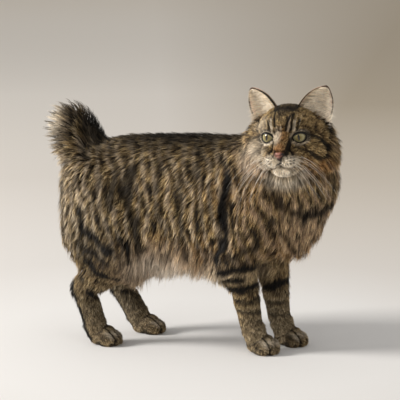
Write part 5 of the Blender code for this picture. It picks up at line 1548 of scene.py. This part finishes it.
for side in (RIGHT, LEFT):
    for row, (up, spots) in enumerate(WHISKER_ROWS):
        for forward, across in spots:
            start = on_head_skin((forward, across, up), side)
            length = draw.uniform(0.036, 0.053) * (1.15 if row in (1, 2) else 0.85)
            way = Vector((0.22 + draw.normal(0, 0.08), side * 0.80, -0.10 - 0.20 * row + draw.normal(0, 0.08)))
            sag = Vector((-0.30 + draw.normal(0, 0.06), -side * 0.08, -0.42 + draw.normal(0, 0.08)))
            way = turn_head @ way.normalized()
            sag = turn_head @ sag
            line = []
            for i in range(11):
                share = i / 10
                at = start + (way * share + sag * share * share) * length
                line.append((at, 0.00017 * (1 - 0.7 * share)))
            whisker_lines.append(line)
    for i, across in enumerate((0.016, 0.022)):
        start = on_head_skin((0.020, across, 0.024), side)
        way = turn_head @ Vector((0.55, side * (0.05 + 0.12 * i), 0.75)).normalized()
        sag = turn_head @ Vector((-0.35, side * 0.15, 0.0))
        length = 0.020 + 0.003 * i
        whisker_lines.append([(start + (way * s + sag * s * s) * length, 0.00011 * (1 - 0.7 * s))
                              for s in (0, 0.25, 0.5, 0.75, 1)])
whiskers = tube("whiskers", whisker_lines, white_whisker, 0)
print(len(whisker_lines), "whiskers")

# %% [markdown]
# ## Studio
# A wide pale floor, a large soft key light high on the left in front of the cat, a weak fill and a bright world. The
# floor's colour has painted shade in it, as light falls off over a lit paper sweep: near white by the cat, darker from
# about 0.6 to 2 m out, and warm grey far away.

# %% Floor
paper, tree, shader = new_material("matte_studio_paper", Roughness=0.9, Specular_IOR_Level=0.2)
where = add(tree, "ShaderNodeTexCoord")
distance = add(tree, "ShaderNodeVectorMath", {0: where.outputs["Object"]}, operation="LENGTH")
spread = add(tree, "ShaderNodeMath", {0: distance.outputs["Value"], 1: 25.0}, operation="DIVIDE")
root_of = add(tree, "ShaderNodeMath", {0: spread.outputs[0], 1: 0.5}, operation="POWER", use_clamp=True)
# Painted light and shade by the distance from the cat.
floor_painted_falloff = set_stops(add(tree, "ShaderNodeValToRGB", {0: root_of.outputs[0]}), (
    (0.0, "#e9e9ea"), (0.11, "#e4e4e4"), (0.16, "#d9d7d5"), (0.27, "#d9d5d0"), (0.42, "#f0ece6"),
    (0.7, "#eee9e1"), (1.0, "#e8e1d6")))
# Painted shade: the floor's colour darkens to the right, away from the key light, by the direction from the cat.
along = add(tree, "ShaderNodeVectorMath", {0: where.outputs["Object"], 1: (0.951, 0.309, 0)},
            operation="DOT_PRODUCT")
bearing = add(tree, "ShaderNodeMath", {0: along.outputs["Value"], 1: distance.outputs["Value"]}, operation="DIVIDE")
painted_shade_to_right = add(tree, "ShaderNodeMapRange", {0: bearing.outputs[0], 1: -0.03, 2: 0.14, 3: 0.0, 4: 1.0})
far = add(tree, "ShaderNodeMapRange", {0: root_of.outputs[0], 1: 0.12, 2: 0.40, 3: 0.0, 4: 1.0})
amount = add(tree, "ShaderNodeMath", {0: painted_shade_to_right.outputs[0], 1: far.outputs[0]}, operation="MULTIPLY")
darker = add(tree, "ShaderNodeMix", {0: amount.outputs[0], 6: floor_painted_falloff, 7: srgb("#bfb4a2")}, data_type="RGBA")
tree.links.new(darker.outputs[2], shader.inputs["Base Color"])
bpy.ops.mesh.primitive_grid_add(x_subdivisions=8, y_subdivisions=8, size=120)
floor = bpy.context.object
floor.name = floor.data.name = "studio_floor"
floor.data.materials.append(paper)

# %% Light
world = bpy.data.worlds.new("soft_studio")
world.use_nodes = True
bpy.context.scene.world = world
background = world.node_tree.nodes["Background"]
background.inputs["Color"].default_value = srgb("#f5f1ec")
background.inputs["Strength"].default_value = 0.60


def softbox(name, at, size, watts, code):
    light = bpy.data.lights.new(name, "AREA")
    light.shape, light.size, light.energy, light.color = "SQUARE", size, watts, srgb(code)[:3]
    made = new_object(name, light)
    made.location = at
    made.rotation_mode = "QUATERNION"
    made.rotation_quaternion = (Vector((0, 0, 0.15)) - Vector(at)).to_track_quat("-Z", "Y")


softbox("key", (-3.4, -1.6, 2.0), 1.2, 215, "#fffaf3")
softbox("fill", (1.8, -1.6, 1.0), 1.6, 3, "#fffaf4")
softbox("catchlight", (-0.5, -2.6, 1.1), 0.22, 3, "#fffdf8")
bpy.context.scene.view_settings.view_transform = "Standard"

# %% [markdown]
# ## Camera
# The picture was taken with a long lens from about 2.2 m, a little ahead of side on and slightly
# above, so the camera stands there. Its lens gives 752 of the picture's pixels a metre at the cat.

# %% Camera
AZIMUTH, ELEVATION, DISTANCE, PIXELS_PER_METRE = math.radians(18), math.radians(8), 2.2, 752
back = Vector((
    math.sin(AZIMUTH) * math.cos(ELEVATION), -math.cos(AZIMUTH) * math.cos(ELEVATION), math.sin(ELEVATION)))
camera = bpy.data.objects.new("camera", bpy.data.cameras.new("camera"))
bpy.context.scene.collection.objects.link(camera)
camera.location = Vector((0, 0, 0.1945)) + SHIFT + back * DISTANCE
camera.rotation_mode = "QUATERNION"
camera.rotation_quaternion = (-back).to_track_quat("-Z", "Y")
camera.data.sensor_width = 36
camera.data.lens = PIXELS_PER_METRE * DISTANCE / 400 * 36
camera.data.clip_start, camera.data.clip_end = 0.05, 200
bpy.context.scene.camera = camera
